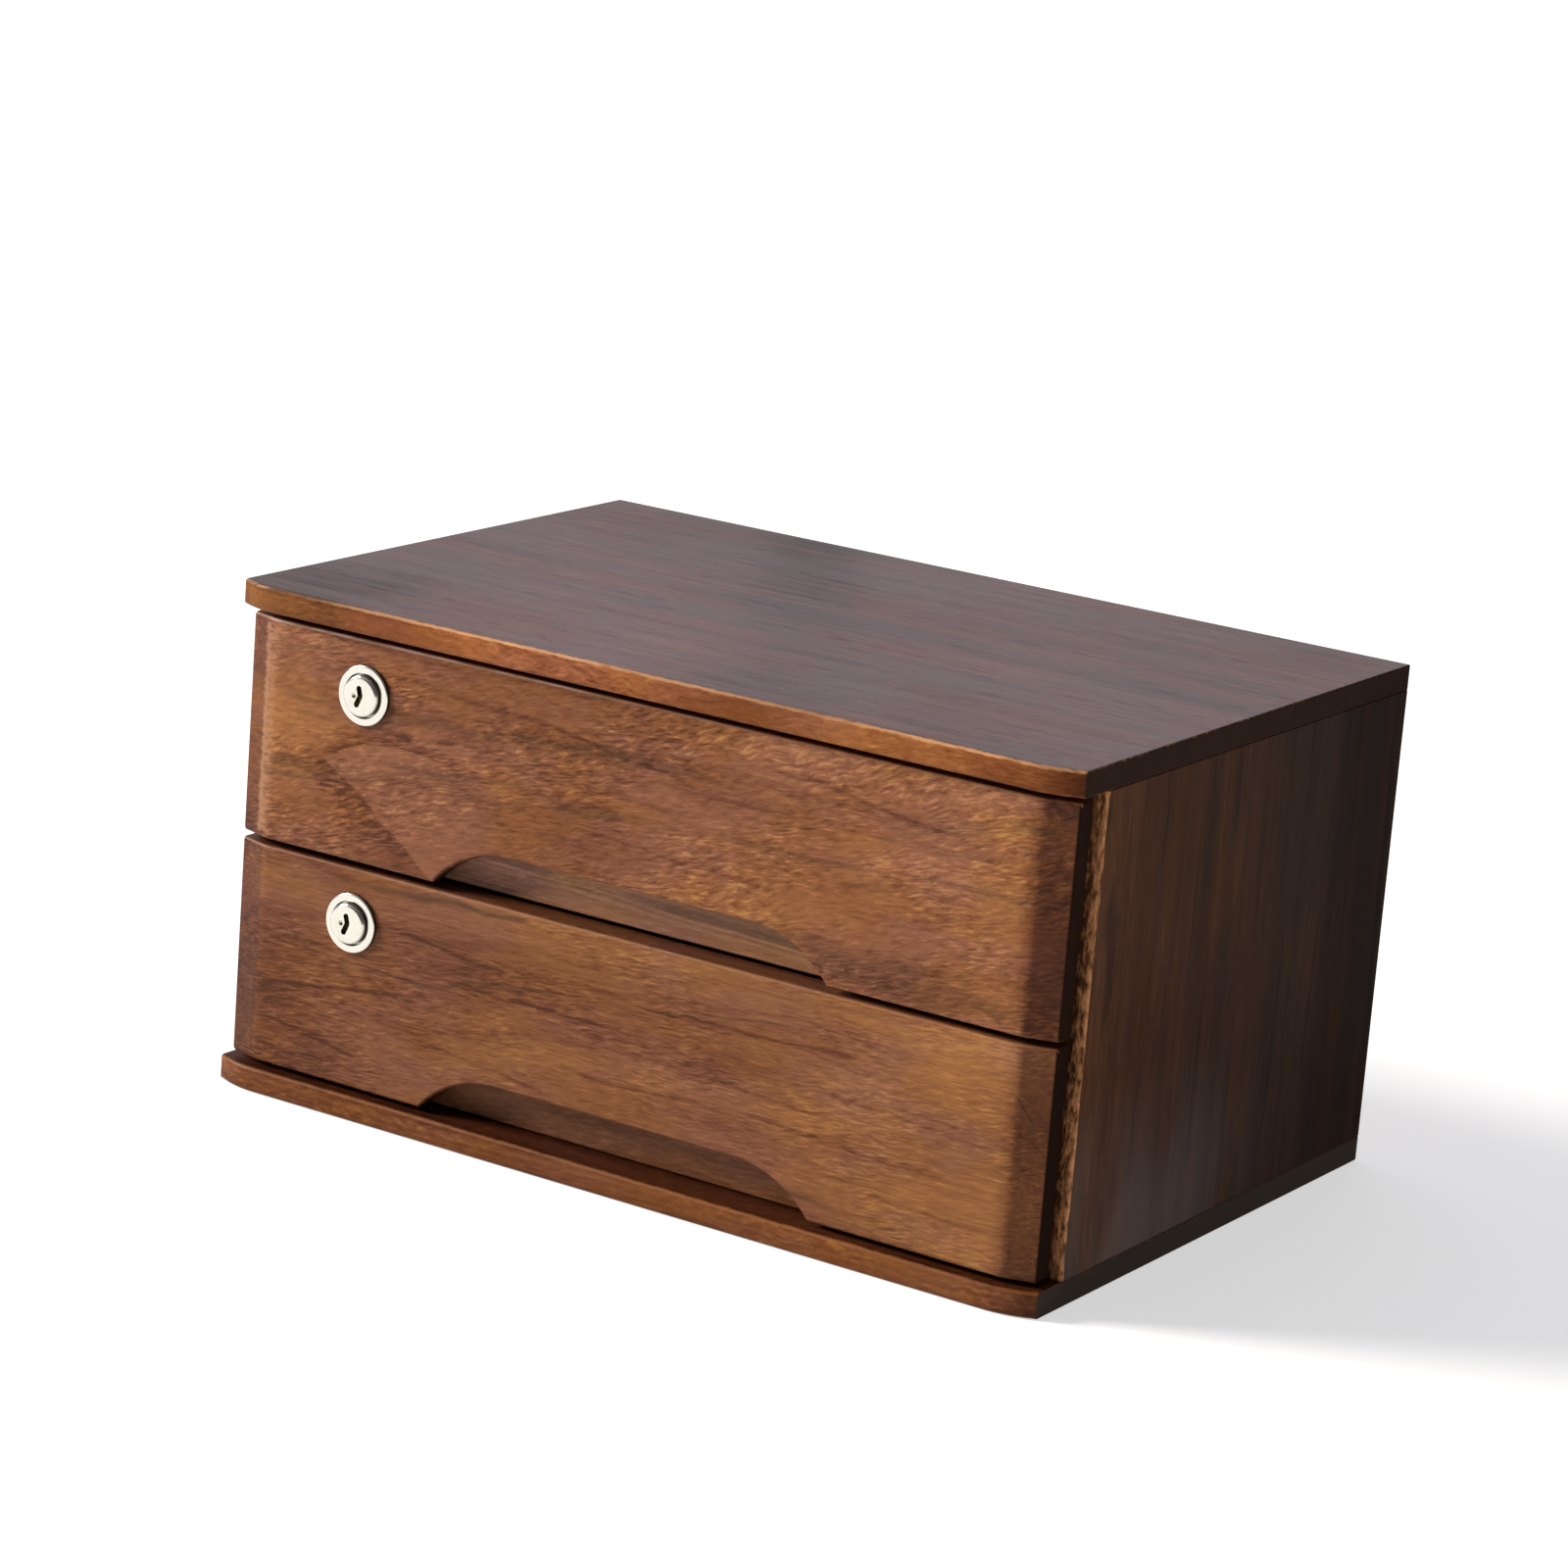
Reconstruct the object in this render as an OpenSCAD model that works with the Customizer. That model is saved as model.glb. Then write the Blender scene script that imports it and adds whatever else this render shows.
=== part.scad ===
// Two-drawer lockable desktop cabinet in dark-stained wood.
// Origin: centre of the footprint on the resting surface. +X runs along the width, +Y to the
// back and +Z up, so the drawers open towards -Y.

/* [Cabinet] */
// Overall width, over the top and bottom boards
cabinet_w = 334; // [326:1:350]
// Overall depth, from the boards' front edge to their back edge
cabinet_d = 227; // [220:1:240]
// Overall height
cabinet_h = 180; // [176:1:190]
// Thickness of the top and bottom boards
board_t = 9; // [8.5:0.5:10]
// Radius of the soft curve at each front corner of a board
corner_r = 36; // [34:1:44]
// Width of that curve, measured in from the board's end
corner_run = 18; // [14:1:20]

/* [Carcass] */
// Thickness of the side panels
panel_t = 9; // [9:0.5:10]
// Distance of the side panels' front edges behind the boards' front edge
panel_setback = 19; // [18.6:0.1:20]
// Thickness of the shelf between the drawers
shelf_t = 9; // [9:0.5:10]
// Depth, front to back, of the rail under the top board
rail_d = 34; // [28:1:50]
// Thickness of the back panel
back_t = 5; // [4:0.5:6]
// Width of the rabbets that take the back panel
rabbet_w = 5; // [4:0.5:5]

/* [Drawer fronts] */
// Thickness of a drawer front
front_t = 11.5; // [11:0.1:12]
// Distance of the fronts' faces behind the boards' front edge
front_setback = 3.6; // [3.5:0.1:4]
// Distance of the fronts' ends in from the boards' ends
front_inset = 2.7; // [2:0.1:4]
// Width of the bend and the facet at each end of a front
facet_run = 15.3; // [13:0.1:17]
// Angle that the facets turn back from the face
facet_angle = 18; // [14:1:18]
// Radius of the bend between the face and a facet
bend_r = 20; // [16:1:24]
// Gap between the bottom board and the lower front
gap_bottom = 1.7; // [1.2:0.05:2]
// Gap between the two fronts
gap_middle = 2.15; // [1.8:0.05:2.5]
// Gap between the upper front and the top board
gap_top = 2.25; // [1.8:0.05:2.5]

/* [Finger scoops] */
// Height of a scoop above the front's lower edge
scoop_h = 14.7; // [12:0.1:18]
// Half of the straight run along a scoop's top
scoop_flat = 48; // [40:1:55]
// Radius of a scoop's end curves
scoop_r = 41; // [36:1:46]
// Depth of the finger groove that undercuts the scoop from behind
groove_d = 5.5; // [5:0.1:6.5]
// Rise of the finger groove above the scoop's top
groove_rise = 7; // [5:0.5:8]

/* [Drawer boxes] */
// Thickness of the box walls
box_t = 8; // [8:0.5:9]
// Thickness of the plywood drawer bottoms
bottom_t = 3; // [3:0.5:4]
// Height of the drawer bottom's underside above the box's lower edge
bottom_rise = 5; // [4:0.5:6]
// Depth of the grooves that take the drawer bottom
groove_in = 4; // [3:0.5:5]
// Sideways clearance on each side of a box
side_gap = 0.8; // [0.5:0.1:1.2]
// Clearance under a box
under_gap = 0.5; // [0.4:0.1:0.6]
// Clearance over a box
over_gap = 0.8; // [0.6:0.1:1]
// Clearance between a closed drawer and its bumpers
stop_gap = 0.5; // [0.4:0.1:1]

/* [Locks] */
// Distance of the locks left of the cabinet's middle
lock_x = 112; // [108:1:118]
// Height of a lock's axis above its front's lower edge
lock_rise = 58.8; // [58:0.1:58.9]
// Outer diameter of the bezel ring
bezel_d = 21; // [20.5:0.5:24]
// Thickness of the bezel ring
bezel_t = 1.5; // [1.4:0.1:2]
// Diameter of the plug's raised head
head_d = 14.2; // [14:0.1:14.8]
// Distance that the plug's head stands out from the drawer front
head_out = 3.4; // [3:0.1:3.5]
// Outer diameter of the barrel
barrel_d = 16.4; // [16:0.1:16.6]
// Diameter of the plug inside the barrel
plug_d = 12.4; // [12:0.1:12.6]
// Width of the bolt
bolt_w = 16; // [14:0.5:16]
// Thickness of the bolt
bolt_t = 3; // [2.5:0.1:3]
// Distance of the crank pin from the plug's axis
crank_r = 4.3; // [4:0.1:4.4]

/* [Hidden] */
$fn = 96;

// Colours
front_wood = [0.42, 0.24, 0.15];
board_wood = [0.33, 0.19, 0.13];
side_wood = [0.21, 0.13, 0.10];
box_wood = [0.45, 0.33, 0.24];
plywood = [0.62, 0.48, 0.34];
dowel_wood = [0.72, 0.56, 0.38];
nickel = [0.86, 0.85, 0.82];
steel = [0.62, 0.62, 0.63];
brass = [0.78, 0.62, 0.30];
felt = [0.20, 0.18, 0.17];

// Overcut, so that a cut passes clean through a face
over = 1;
// Room around a fixed pin, screw or panel in its hole or groove
fit = 0.05;

// Cabinet
half_w = cabinet_w / 2;
half_d = cabinet_d / 2;
top_z = cabinet_h - board_t;
panel_y = -half_d + panel_setback;
panel_x = half_w - panel_t;
back_y = half_d - back_t;

// Drawer fronts, drawer bays and the shelf and rail that divide them
front_h = (cabinet_h - 2 * board_t - gap_bottom - gap_middle - gap_top) / 2;
pitch = front_h + gap_middle;
bay_h = pitch - shelf_t;
lower_z = board_t;
upper_z = lower_z + pitch;
face_y = -half_d + front_setback;
bend_steps = 12;
stack_t = front_t + box_t;

// Felt bumpers on the back panel
bumper_t = 2;
bumper_d = 10;
bumper_x = 120;

// Drawer boxes: walls, bottom and inside
box_x = panel_x - side_gap;
box_y = face_y + front_t;
box_end_y = back_y - bumper_t - stop_gap;
box_h = bay_h - under_gap - over_gap;
inner_x = box_x - box_t;
inner_y = box_y + box_t;
inner_end_y = box_end_y - box_t;

// Dowels
dowel_d = 5;
dowel_board = 6;
dowel_panel = 14;
dowel_side = 5;
dowel_shelf = 11;
dowel_ys = [-80, 5, 90];
panel_mid_x = half_w - panel_t / 2;
rail_dowel_y = panel_y + rail_d - 2 * dowel_d;

// Nails
nail_d = 1.6;
nail_head_d = 3;
nail_head_t = 0.6;
back_nail_l = 16;
box_nail_l = 22;
back_nail_zs = [30, 70, 110, 150];
back_nail_xs = [-110, 0, 110];
box_nail_rises = [14, 35, 58];

// Wood screws: shank diameter, head diameter and length of each kind
front_screw = [3, 6, 16];
lock_screw = [2.4, 4.6, 12];
strike_screw = [2, 4, 7];
front_screw_xs = [-142, -50, 50, 142];
front_screw_rise = 45;
// Cross recess, as shares of the screw's head diameter
cross_span = 0.6;
cross_slot = 0.14;
cross_sink = 0.16;

// Lock case, measured from the lock's axis
flange_w = 40;
flange_t = 1.5;
case_top = 9.5;
case_bottom = -16.5;
case_wall = 1.6;
bolt_room = 0.4;
cover_t = 1.2;
stake_d = 1.2;
case_h = case_top - case_bottom;
channel_w = bolt_w + 2 * bolt_room;
channel_d = bolt_t + 2 * bolt_room;
case_w = channel_w + 2 * case_wall;
case_y = stack_t + flange_t;
cover_y = case_y + channel_d;
stake_x = (channel_w + case_wall) / 2;
lock_screw_x = 15.5;
lock_screw_zs = [-12.5, 5.5];

// Plug, crank and bolt. A quarter turn takes the crank pin from 45 degrees below the level to
// 45 degrees above it, which lifts the bolt by crank_r * sqrt(2).
plug_gap = 0.1;
head_gap = 0.3;
crank_d = 3;
crank_side = crank_r / sqrt(2);
slot_room = 0.35;
slot_in = 0.9;
bolt_top = 9.2;
bolt_h = 20;
wafer_t = 0.8;
wafer_w = 6.8;
wafer_count = 5;
wafer_pitch = 3;
wafer_room = 0.1;
keyway_w = 1.5;
keyway_l = 3.7;
keyway_depth = 16.5;
keyway_tilt = 20;
dimple_d = 1.4;
dimple_x = 2.7;
dimple_depth = 1;

// Strike plates and the mortises behind them
strike_w = 36;
strike_d = 12;
strike_t = 1;
mortise_w = 18.4;
mortise_d = 6.4;
mortise_h = 5.8;
strike_screw_x = 13.6;
strike_y = face_y + case_y + channel_d / 2;

// ---- Helpers ----

// A cylinder of diameter d and length l that starts at y = 0 and runs to +Y
module rod_y(d, l) {
    rotate([-90, 0, 0])
        cylinder(d = d, h = l);
}

// A cylinder that starts at x = 0 and runs to +X
module rod_x(d, l) {
    rotate([0, 90, 0])
        cylinder(d = d, h = l);
}

// A flat shape in X and Z, thickened from y = 0 to y = t
module upright(t) {
    translate([0, t, 0])
        rotate([90, 0, 0])
            linear_extrude(t)
                children();
}

// A block centred on x = 0
module block(w, y, d, z, h) {
    translate([-w / 2, y, z])
        cube([w, d, h]);
}

// Plan of a board: straight along the front, with a soft curve to each end
module bowed_plan(half, front, back, r, run) {
    step = r - sqrt(r * r - run * run);
    difference() {
        translate([-half, front])
            square([2 * half, back - front]);
        for (side = [0, 1])
            mirror([side, 0])
                difference() {
                    translate([half - run, front - over])
                        square([run + over, step + 2 * over]);
                    translate([half - run, front + r])
                        circle(r);
                }
    }
}

// Plan of a drawer front: straight along the face, then bent back to a facet at each end
module faceted_plan(half, front, back) {
    start = half - facet_run;
    bend = [
        for (i = [0 : bend_steps])
            let (turn = facet_angle * i / bend_steps)
                [start + bend_r * sin(turn), front + bend_r * (1 - cos(turn))]
    ];
    last = bend[bend_steps];
    end_y = last[1] + (half - last[0]) * tan(facet_angle);
    right = concat(bend, [[half, end_y], [half, back]]);
    left = [for (i = [len(right) - 1 : -1 : 0]) [-right[i][0], right[i][1]]];
    polygon(concat(right, left));
}

// A countersunk wood screw: size is shank, head and length. The head's flat face is at y = 0
// and the shank runs to +Y.
module screw_y(size, room = 0) {
    cone = (size[1] - size[0]) / 2;
    rod_y(size[0] + 2 * room, size[2]);
    rotate([-90, 0, 0])
        cylinder(d1 = size[1] + 2 * room, d2 = size[0] + 2 * room, h = cone);
}

// The cross recess in a screw's head of diameter d
module cross_recess(d) {
    for (turn = [0, 90])
        rotate([0, turn, 0])
            block(d * cross_span, -over, over + d * cross_sink, -d * cross_slot / 2,
                d * cross_slot);
}

module nail_y(l, room = 0) {
    rod_y(nail_d + 2 * room, l);
    rod_y(nail_head_d + 2 * room, nail_head_t);
}

// ---- Carcass ----

module board() {
    linear_extrude(board_t)
        bowed_plan(half_w, -half_d, half_d, corner_r, corner_run);
}

module bottom_board() {
    color(board_wood)
        difference() {
            board();
            dowels(fit);
        }
}

module top_board() {
    color(board_wood)
        difference() {
            translate([0, 0, top_z])
                board();
            dowels(fit);
        }
}

// The side panel at +X, with the rabbet for the back panel along its inner back edge
module side_panel() {
    difference() {
        translate([panel_x, panel_y, board_t])
            cube([panel_t, half_d - panel_y, top_z - board_t]);
        translate([panel_x - over, back_y, board_t - over])
            cube([rabbet_w + over, back_t + over, top_z - board_t + 2 * over]);
        dowels(fit);
        back_nails(fit);
    }
}

module right_side_panel() {
    color(side_wood)
        side_panel();
}

module left_side_panel() {
    color(side_wood)
        mirror([1, 0, 0])
            side_panel();
}

module middle_shelf() {
    color(board_wood)
        difference() {
            block(2 * panel_x, panel_y, back_y - panel_y, lower_z + bay_h, shelf_t);
            mortise(lower_z);
            dowels(fit);
            back_nails(fit);
        }
}

module top_rail() {
    rail_z = upper_z + bay_h;
    color(board_wood)
        difference() {
            block(2 * panel_x, panel_y, rail_d, rail_z, top_z - rail_z);
            mortise(upper_z);
            dowels(fit);
        }
}

module back_panel() {
    color(plywood)
        difference() {
            block(2 * (panel_x + rabbet_w), back_y, back_t, board_t, top_z - board_t);
            back_nails(fit);
        }
}

// Every dowel of the carcass: upright ones between boards and side panels, level ones between
// side panels and the shelf and the rail
module dowels(room = 0) {
    d = dowel_d + 2 * room;
    l = dowel_board + dowel_panel + 2 * room;
    level_l = dowel_side + dowel_shelf + 2 * room;
    shelf_z = lower_z + bay_h + shelf_t / 2;
    rail_z = (upper_z + bay_h + top_z) / 2;
    for (side = [0, 1])
        mirror([side, 0, 0]) {
            for (y = dowel_ys) {
                translate([panel_mid_x, y, board_t - dowel_board - room])
                    cylinder(d = d, h = l);
                translate([panel_mid_x, y, top_z - dowel_panel - room])
                    cylinder(d = d, h = l);
                translate([panel_x - dowel_shelf - room, y, shelf_z])
                    rod_x(d, level_l);
            }
            translate([panel_x - dowel_shelf - room, rail_dowel_y, rail_z])
                rod_x(d, level_l);
        }
}

module carcass_dowels() {
    color(dowel_wood)
        dowels();
}

// Nails from behind, through the back panel into the side panels and the shelf
module back_nails(room = 0) {
    shelf_z = lower_z + bay_h + shelf_t / 2;
    for (side = [-1, 1], z = back_nail_zs)
        translate([side * (panel_x + rabbet_w / 2), half_d, z])
            mirror([0, 1, 0])
                nail_y(back_nail_l, room);
    for (x = back_nail_xs)
        translate([x, half_d, shelf_z])
            mirror([0, 1, 0])
                nail_y(back_nail_l, room);
}

module back_panel_nails() {
    color(steel)
        back_nails();
}

// Felt discs that the closed drawers stop against
module back_bumpers() {
    color(felt)
        for (z = [lower_z, upper_z], x = [-bumper_x, bumper_x])
            translate([x, back_y - bumper_t, z + bay_h / 2])
                rod_y(bumper_d, bumper_t);
}

// The recess for a strike plate, the mortise behind it and its screw holes, over a bay at z
module mortise(z) {
    translate([-lock_x, strike_y, z + bay_h]) {
        block(mortise_w, -mortise_d / 2, mortise_d, -over, mortise_h + over);
        block(strike_w + 2 * fit, -strike_d / 2 - fit, strike_d + 2 * fit, -over, strike_t + over);
        strike_fasteners(fit);
    }
}

// A pair of strike-plate screws, pointing up from the plate's face at z = 0
module strike_fasteners(room = 0) {
    for (x = [-strike_screw_x, strike_screw_x])
        translate([x, 0, 0])
            rotate([90, 0, 0])
                screw_y(strike_screw, room);
}

module strike_plate(z) {
    color(steel)
        translate([-lock_x, strike_y, z + bay_h])
            difference() {
                block(strike_w, -strike_d / 2, strike_d, 0, strike_t);
                block(mortise_w, -mortise_d / 2, mortise_d, -over, strike_t + 2 * over);
                strike_fasteners(fit);
            }
}

module upper_strike_plate() {
    strike_plate(upper_z);
}

module lower_strike_plate() {
    strike_plate(lower_z);
}

module strike_screws() {
    color(steel)
        for (z = [lower_z, upper_z])
            translate([-lock_x, strike_y, z + bay_h])
                difference() {
                    strike_fasteners();
                    for (x = [-strike_screw_x, strike_screw_x])
                        translate([x, 0, 0])
                            rotate([90, 0, 0])
                                cross_recess(strike_screw[1]);
                }
}

// ---- Drawers. Each module takes the z of the drawer's bay. ----

// Outline of a finger scoop in X and Z, above z = 0, with its top at h
module scoop_shape(h) {
    intersection() {
        translate([-scoop_flat - scoop_r, -over])
            square([2 * (scoop_flat + scoop_r), h + over]);
        union() {
            translate([-scoop_flat, -over])
                square([2 * scoop_flat, h + over]);
            for (x = [-scoop_flat, scoop_flat])
                translate([x, h - scoop_r])
                    circle(scoop_r);
        }
    }
}

module drawer_front(z) {
    front_z = z + gap_bottom;
    color(front_wood)
        difference() {
            translate([0, 0, front_z])
                linear_extrude(front_h)
                    faceted_plan(half_w - front_inset, face_y, box_y);
            translate([0, face_y - over, front_z])
                upright(front_t + 2 * over)
                    scoop_shape(scoop_h);
            translate([0, box_y - groove_d, front_z])
                upright(groove_d + over)
                    scoop_shape(scoop_h + groove_rise);
            lock_cuts(z);
            front_fasteners(z, fit);
        }
}

module box_front(z) {
    color(box_wood)
        difference() {
            block(2 * box_x, box_y, box_t, z + under_gap, box_h);
            drawer_bottom_panel(z, fit);
            lock_cuts(z);
            front_fasteners(z, fit);
            box_fasteners(z, fit);
        }
}

// The box side at +X
module box_side(z) {
    difference() {
        translate([inner_x, inner_y, z + under_gap])
            cube([box_t, box_end_y - inner_y, box_h]);
        drawer_bottom_panel(z, fit);
        box_fasteners(z, fit);
    }
}

module right_side(z) {
    color(box_wood)
        box_side(z);
}

module left_side(z) {
    color(box_wood)
        mirror([1, 0, 0])
            box_side(z);
}

module box_back(z) {
    color(box_wood)
        difference() {
            block(2 * inner_x, inner_end_y, box_t, z + under_gap, box_h);
            drawer_bottom_panel(z, fit);
            box_fasteners(z, fit);
        }
}

// The plywood bottom, held in grooves on all four sides
module drawer_bottom_panel(z, room = 0) {
    reach = groove_in - fit + room;
    block(2 * (inner_x + reach), inner_y - reach, inner_end_y - inner_y + 2 * reach,
        z + under_gap + bottom_rise - room, bottom_t + 2 * room);
}

module drawer_bottom(z) {
    color(plywood)
        drawer_bottom_panel(z);
}

// Nails at the box corners: from the front into the sides, and from the sides into the back
module box_fasteners(z, room = 0) {
    for (side = [0, 1], rise = box_nail_rises)
        mirror([side, 0, 0]) {
            translate([inner_x + box_t / 2, box_y, z + rise])
                nail_y(box_nail_l, room);
            translate([box_x, box_end_y - box_t / 2, z + rise])
                rotate([0, 0, 90])
                    nail_y(box_nail_l, room);
        }
}

module box_nails(z) {
    color(steel)
        box_fasteners(z);
}

// Screws from inside the box into the drawer front
module front_fasteners(z, room = 0) {
    for (x = front_screw_xs)
        translate([x, inner_y, z + gap_bottom + front_screw_rise])
            mirror([0, 1, 0])
                screw_y(front_screw, room);
}

module front_screws(z) {
    color(steel)
        difference() {
            front_fasteners(z);
            for (x = front_screw_xs)
                translate([x, inner_y, z + gap_bottom + front_screw_rise])
                    mirror([0, 1, 0])
                        cross_recess(front_screw[1]);
        }
}

module upper_drawer_front() {
    drawer_front(upper_z);
}

module upper_box_front() {
    box_front(upper_z);
}

module upper_left_side() {
    left_side(upper_z);
}

module upper_right_side() {
    right_side(upper_z);
}

module upper_box_back() {
    box_back(upper_z);
}

module upper_drawer_bottom() {
    drawer_bottom(upper_z);
}

module upper_box_nails() {
    box_nails(upper_z);
}

module upper_front_screws() {
    front_screws(upper_z);
}

module lower_drawer_front() {
    drawer_front(lower_z);
}

module lower_box_front() {
    box_front(lower_z);
}

module lower_left_side() {
    left_side(lower_z);
}

module lower_right_side() {
    right_side(lower_z);
}

module lower_box_back() {
    box_back(lower_z);
}

module lower_drawer_bottom() {
    drawer_bottom(lower_z);
}

module lower_box_nails() {
    box_nails(lower_z);
}

module lower_front_screws() {
    front_screws(lower_z);
}

// ---- Locks. Drawn about the lock's axis: y = 0 is the drawer front's face, +Y is inwards. ----

module at_lock(z) {
    translate([-lock_x, face_y, z + gap_bottom + lock_rise])
        children();
}

// The holes that a lock needs in the drawer front and the box front
module lock_cuts(z) {
    at_lock(z) {
        translate([0, -over, 0])
            rod_y(barrel_d + 2 * fit, stack_t + 2 * over);
        lock_fasteners(fit);
    }
}

// The four screws through the lock's flange, with their heads flush in it
module lock_fasteners(room = 0) {
    for (x = [-lock_screw_x, lock_screw_x], z = lock_screw_zs)
        translate([x, case_y, z])
            mirror([0, 1, 0])
                screw_y(lock_screw, room);
}

// The flat ring around the plug, with an eased outer edge
module lock_bezel(z) {
    ring_in = head_d / 2 + head_gap;
    ring_out = bezel_d / 2;
    ease = 0.5;
    color(nickel)
        at_lock(z)
            rotate([90, 0, 0])
                rotate_extrude()
                    polygon([
                        [ring_in, 0],
                        [ring_out, 0],
                        [ring_out, bezel_t - ease],
                        [ring_out - ease, bezel_t],
                        [ring_in, bezel_t]
                    ]);
}

// Barrel, flange and the three walls of the bolt's channel, with four stakes for the cover
module lock_case(z) {
    color(steel)
        at_lock(z)
            difference() {
                union() {
                    rod_y(barrel_d, stack_t + over);
                    block(flange_w, stack_t, flange_t, case_bottom, case_h);
                    difference() {
                        block(case_w, case_y - over, channel_d + over, case_bottom, case_h);
                        block(channel_w, case_y, channel_d + over, case_bottom + case_wall,
                            case_h);
                    }
                    cover_stakes();
                }
                translate([0, -over, 0])
                    rod_y(plug_d + 2 * plug_gap, case_y + 2 * over);
                lock_fasteners(fit);
            }
}

module cover_stakes(room = 0) {
    stake_z = 2.5;
    for (x = [-stake_x, stake_x], z = [case_bottom + stake_z, case_top - stake_z])
        translate([x, cover_y - over, z])
            rod_y(stake_d + 2 * room, cover_t + over);
}

module lock_cover(z) {
    color(steel)
        at_lock(z)
            difference() {
                block(case_w, cover_y, cover_t, case_bottom, case_h);
                cover_stakes(fit);
            }
}

// The keyway: a slot with a kink at its middle
module keyway() {
    lean = keyway_l * sin(keyway_tilt) / 2;
    translate([lean / 2, -head_out - over, 0])
        for (way = [0, 1])
            mirror([0, 0, way])
                rotate([0, -keyway_tilt, 0])
                    block(keyway_w, 0, keyway_depth + head_out + over, -keyway_w / 4, keyway_l);
}

// The turning plug: head, shaft cut for the wafers, and the crank pin at its inner end
module lock_plug(z) {
    head_l = head_out - head_gap;
    ease = 1;
    color(nickel)
        at_lock(z) {
            difference() {
                union() {
                    rotate([90, 0, 0])
                        rotate_extrude()
                            polygon([
                                [0, head_gap],
                                [head_d / 2, head_gap],
                                [head_d / 2, head_out - ease],
                                [head_d / 2 - ease, head_out],
                                [0, head_out]
                            ]);
                    translate([0, -head_l / 2, 0])
                        rod_y(plug_d, case_y + head_l / 2);
                }
                keyway();
                translate([-dimple_x, -head_out - over, 0])
                    rod_y(dimple_d, dimple_depth + over);
                wafer_plates(wafer_room);
            }
            translate([-crank_side, case_y - over, -crank_side])
                rod_y(crank_d, over + channel_d - bolt_room);
        }
}

// Upright plates through the plug, one behind the other
module wafer_plates(room = 0) {
    w = wafer_w + 2 * room;
    t = wafer_t + 2 * room;
    for (i = [1 : wafer_count])
        block(w, i * wafer_pitch - t / 2, t, -plug_d / 2 - room, plug_d + 2 * room);
}

// The wafers, drawn in flush with the plug as a key holds them, with the keyway through them
module lock_wafers(z) {
    color(brass)
        at_lock(z)
            difference() {
                intersection() {
                    wafer_plates();
                    rod_y(plug_d, case_y);
                }
                keyway();
            }
}

// The bolt, with the slot that the crank pin lifts it by
module lock_bolt(z) {
    slot_w = crank_r - crank_side + crank_d + 2 * slot_in;
    slot_h = crank_d + 2 * slot_room;
    slot_x = -crank_r - crank_d / 2 - slot_in;
    color(steel)
        at_lock(z)
            difference() {
                block(bolt_w, case_y + bolt_room, bolt_t, bolt_top - bolt_h, bolt_h);
                translate([slot_x, case_y, -crank_side - slot_h / 2])
                    cube([slot_w, channel_d, slot_h]);
            }
}

module lock_screws(z) {
    color(steel)
        at_lock(z)
            difference() {
                lock_fasteners();
                for (x = [-lock_screw_x, lock_screw_x], rise = lock_screw_zs)
                    translate([x, case_y, rise])
                        mirror([0, 1, 0])
                            cross_recess(lock_screw[1]);
            }
}

module upper_lock_bezel() {
    lock_bezel(upper_z);
}

module upper_lock_case() {
    lock_case(upper_z);
}

module upper_lock_cover() {
    lock_cover(upper_z);
}

module upper_lock_plug() {
    lock_plug(upper_z);
}

module upper_lock_wafers() {
    lock_wafers(upper_z);
}

module upper_lock_bolt() {
    lock_bolt(upper_z);
}

module upper_lock_screws() {
    lock_screws(upper_z);
}

module lower_lock_bezel() {
    lock_bezel(lower_z);
}

module lower_lock_case() {
    lock_case(lower_z);
}

module lower_lock_cover() {
    lock_cover(lower_z);
}

module lower_lock_plug() {
    lock_plug(lower_z);
}

module lower_lock_wafers() {
    lock_wafers(lower_z);
}

module lower_lock_bolt() {
    lock_bolt(lower_z);
}

module lower_lock_screws() {
    lock_screws(lower_z);
}

bottom_board();
top_board();
left_side_panel();
right_side_panel();
middle_shelf();
top_rail();
back_panel();
carcass_dowels();
back_panel_nails();
back_bumpers();
upper_strike_plate();
lower_strike_plate();
strike_screws();
upper_drawer_front();
upper_box_front();
upper_left_side();
upper_right_side();
upper_box_back();
upper_drawer_bottom();
upper_box_nails();
upper_front_screws();
lower_drawer_front();
lower_box_front();
lower_left_side();
lower_right_side();
lower_box_back();
lower_drawer_bottom();
lower_box_nails();
lower_front_screws();
upper_lock_bezel();
upper_lock_case();
upper_lock_cover();
upper_lock_plug();
upper_lock_wafers();
upper_lock_bolt();
upper_lock_screws();
lower_lock_bezel();
lower_lock_case();
lower_lock_cover();
lower_lock_plug();
lower_lock_wafers();
lower_lock_bolt();
lower_lock_screws();
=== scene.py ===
"""Looks for a two-drawer lockable desktop cabinet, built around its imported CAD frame.

Metres throughout, in the frame's own axes: +X along the width, +Y to the back, +Z up.
"""
import math
import random

import bmesh
import bpy
from mathutils import Matrix, Vector


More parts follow.
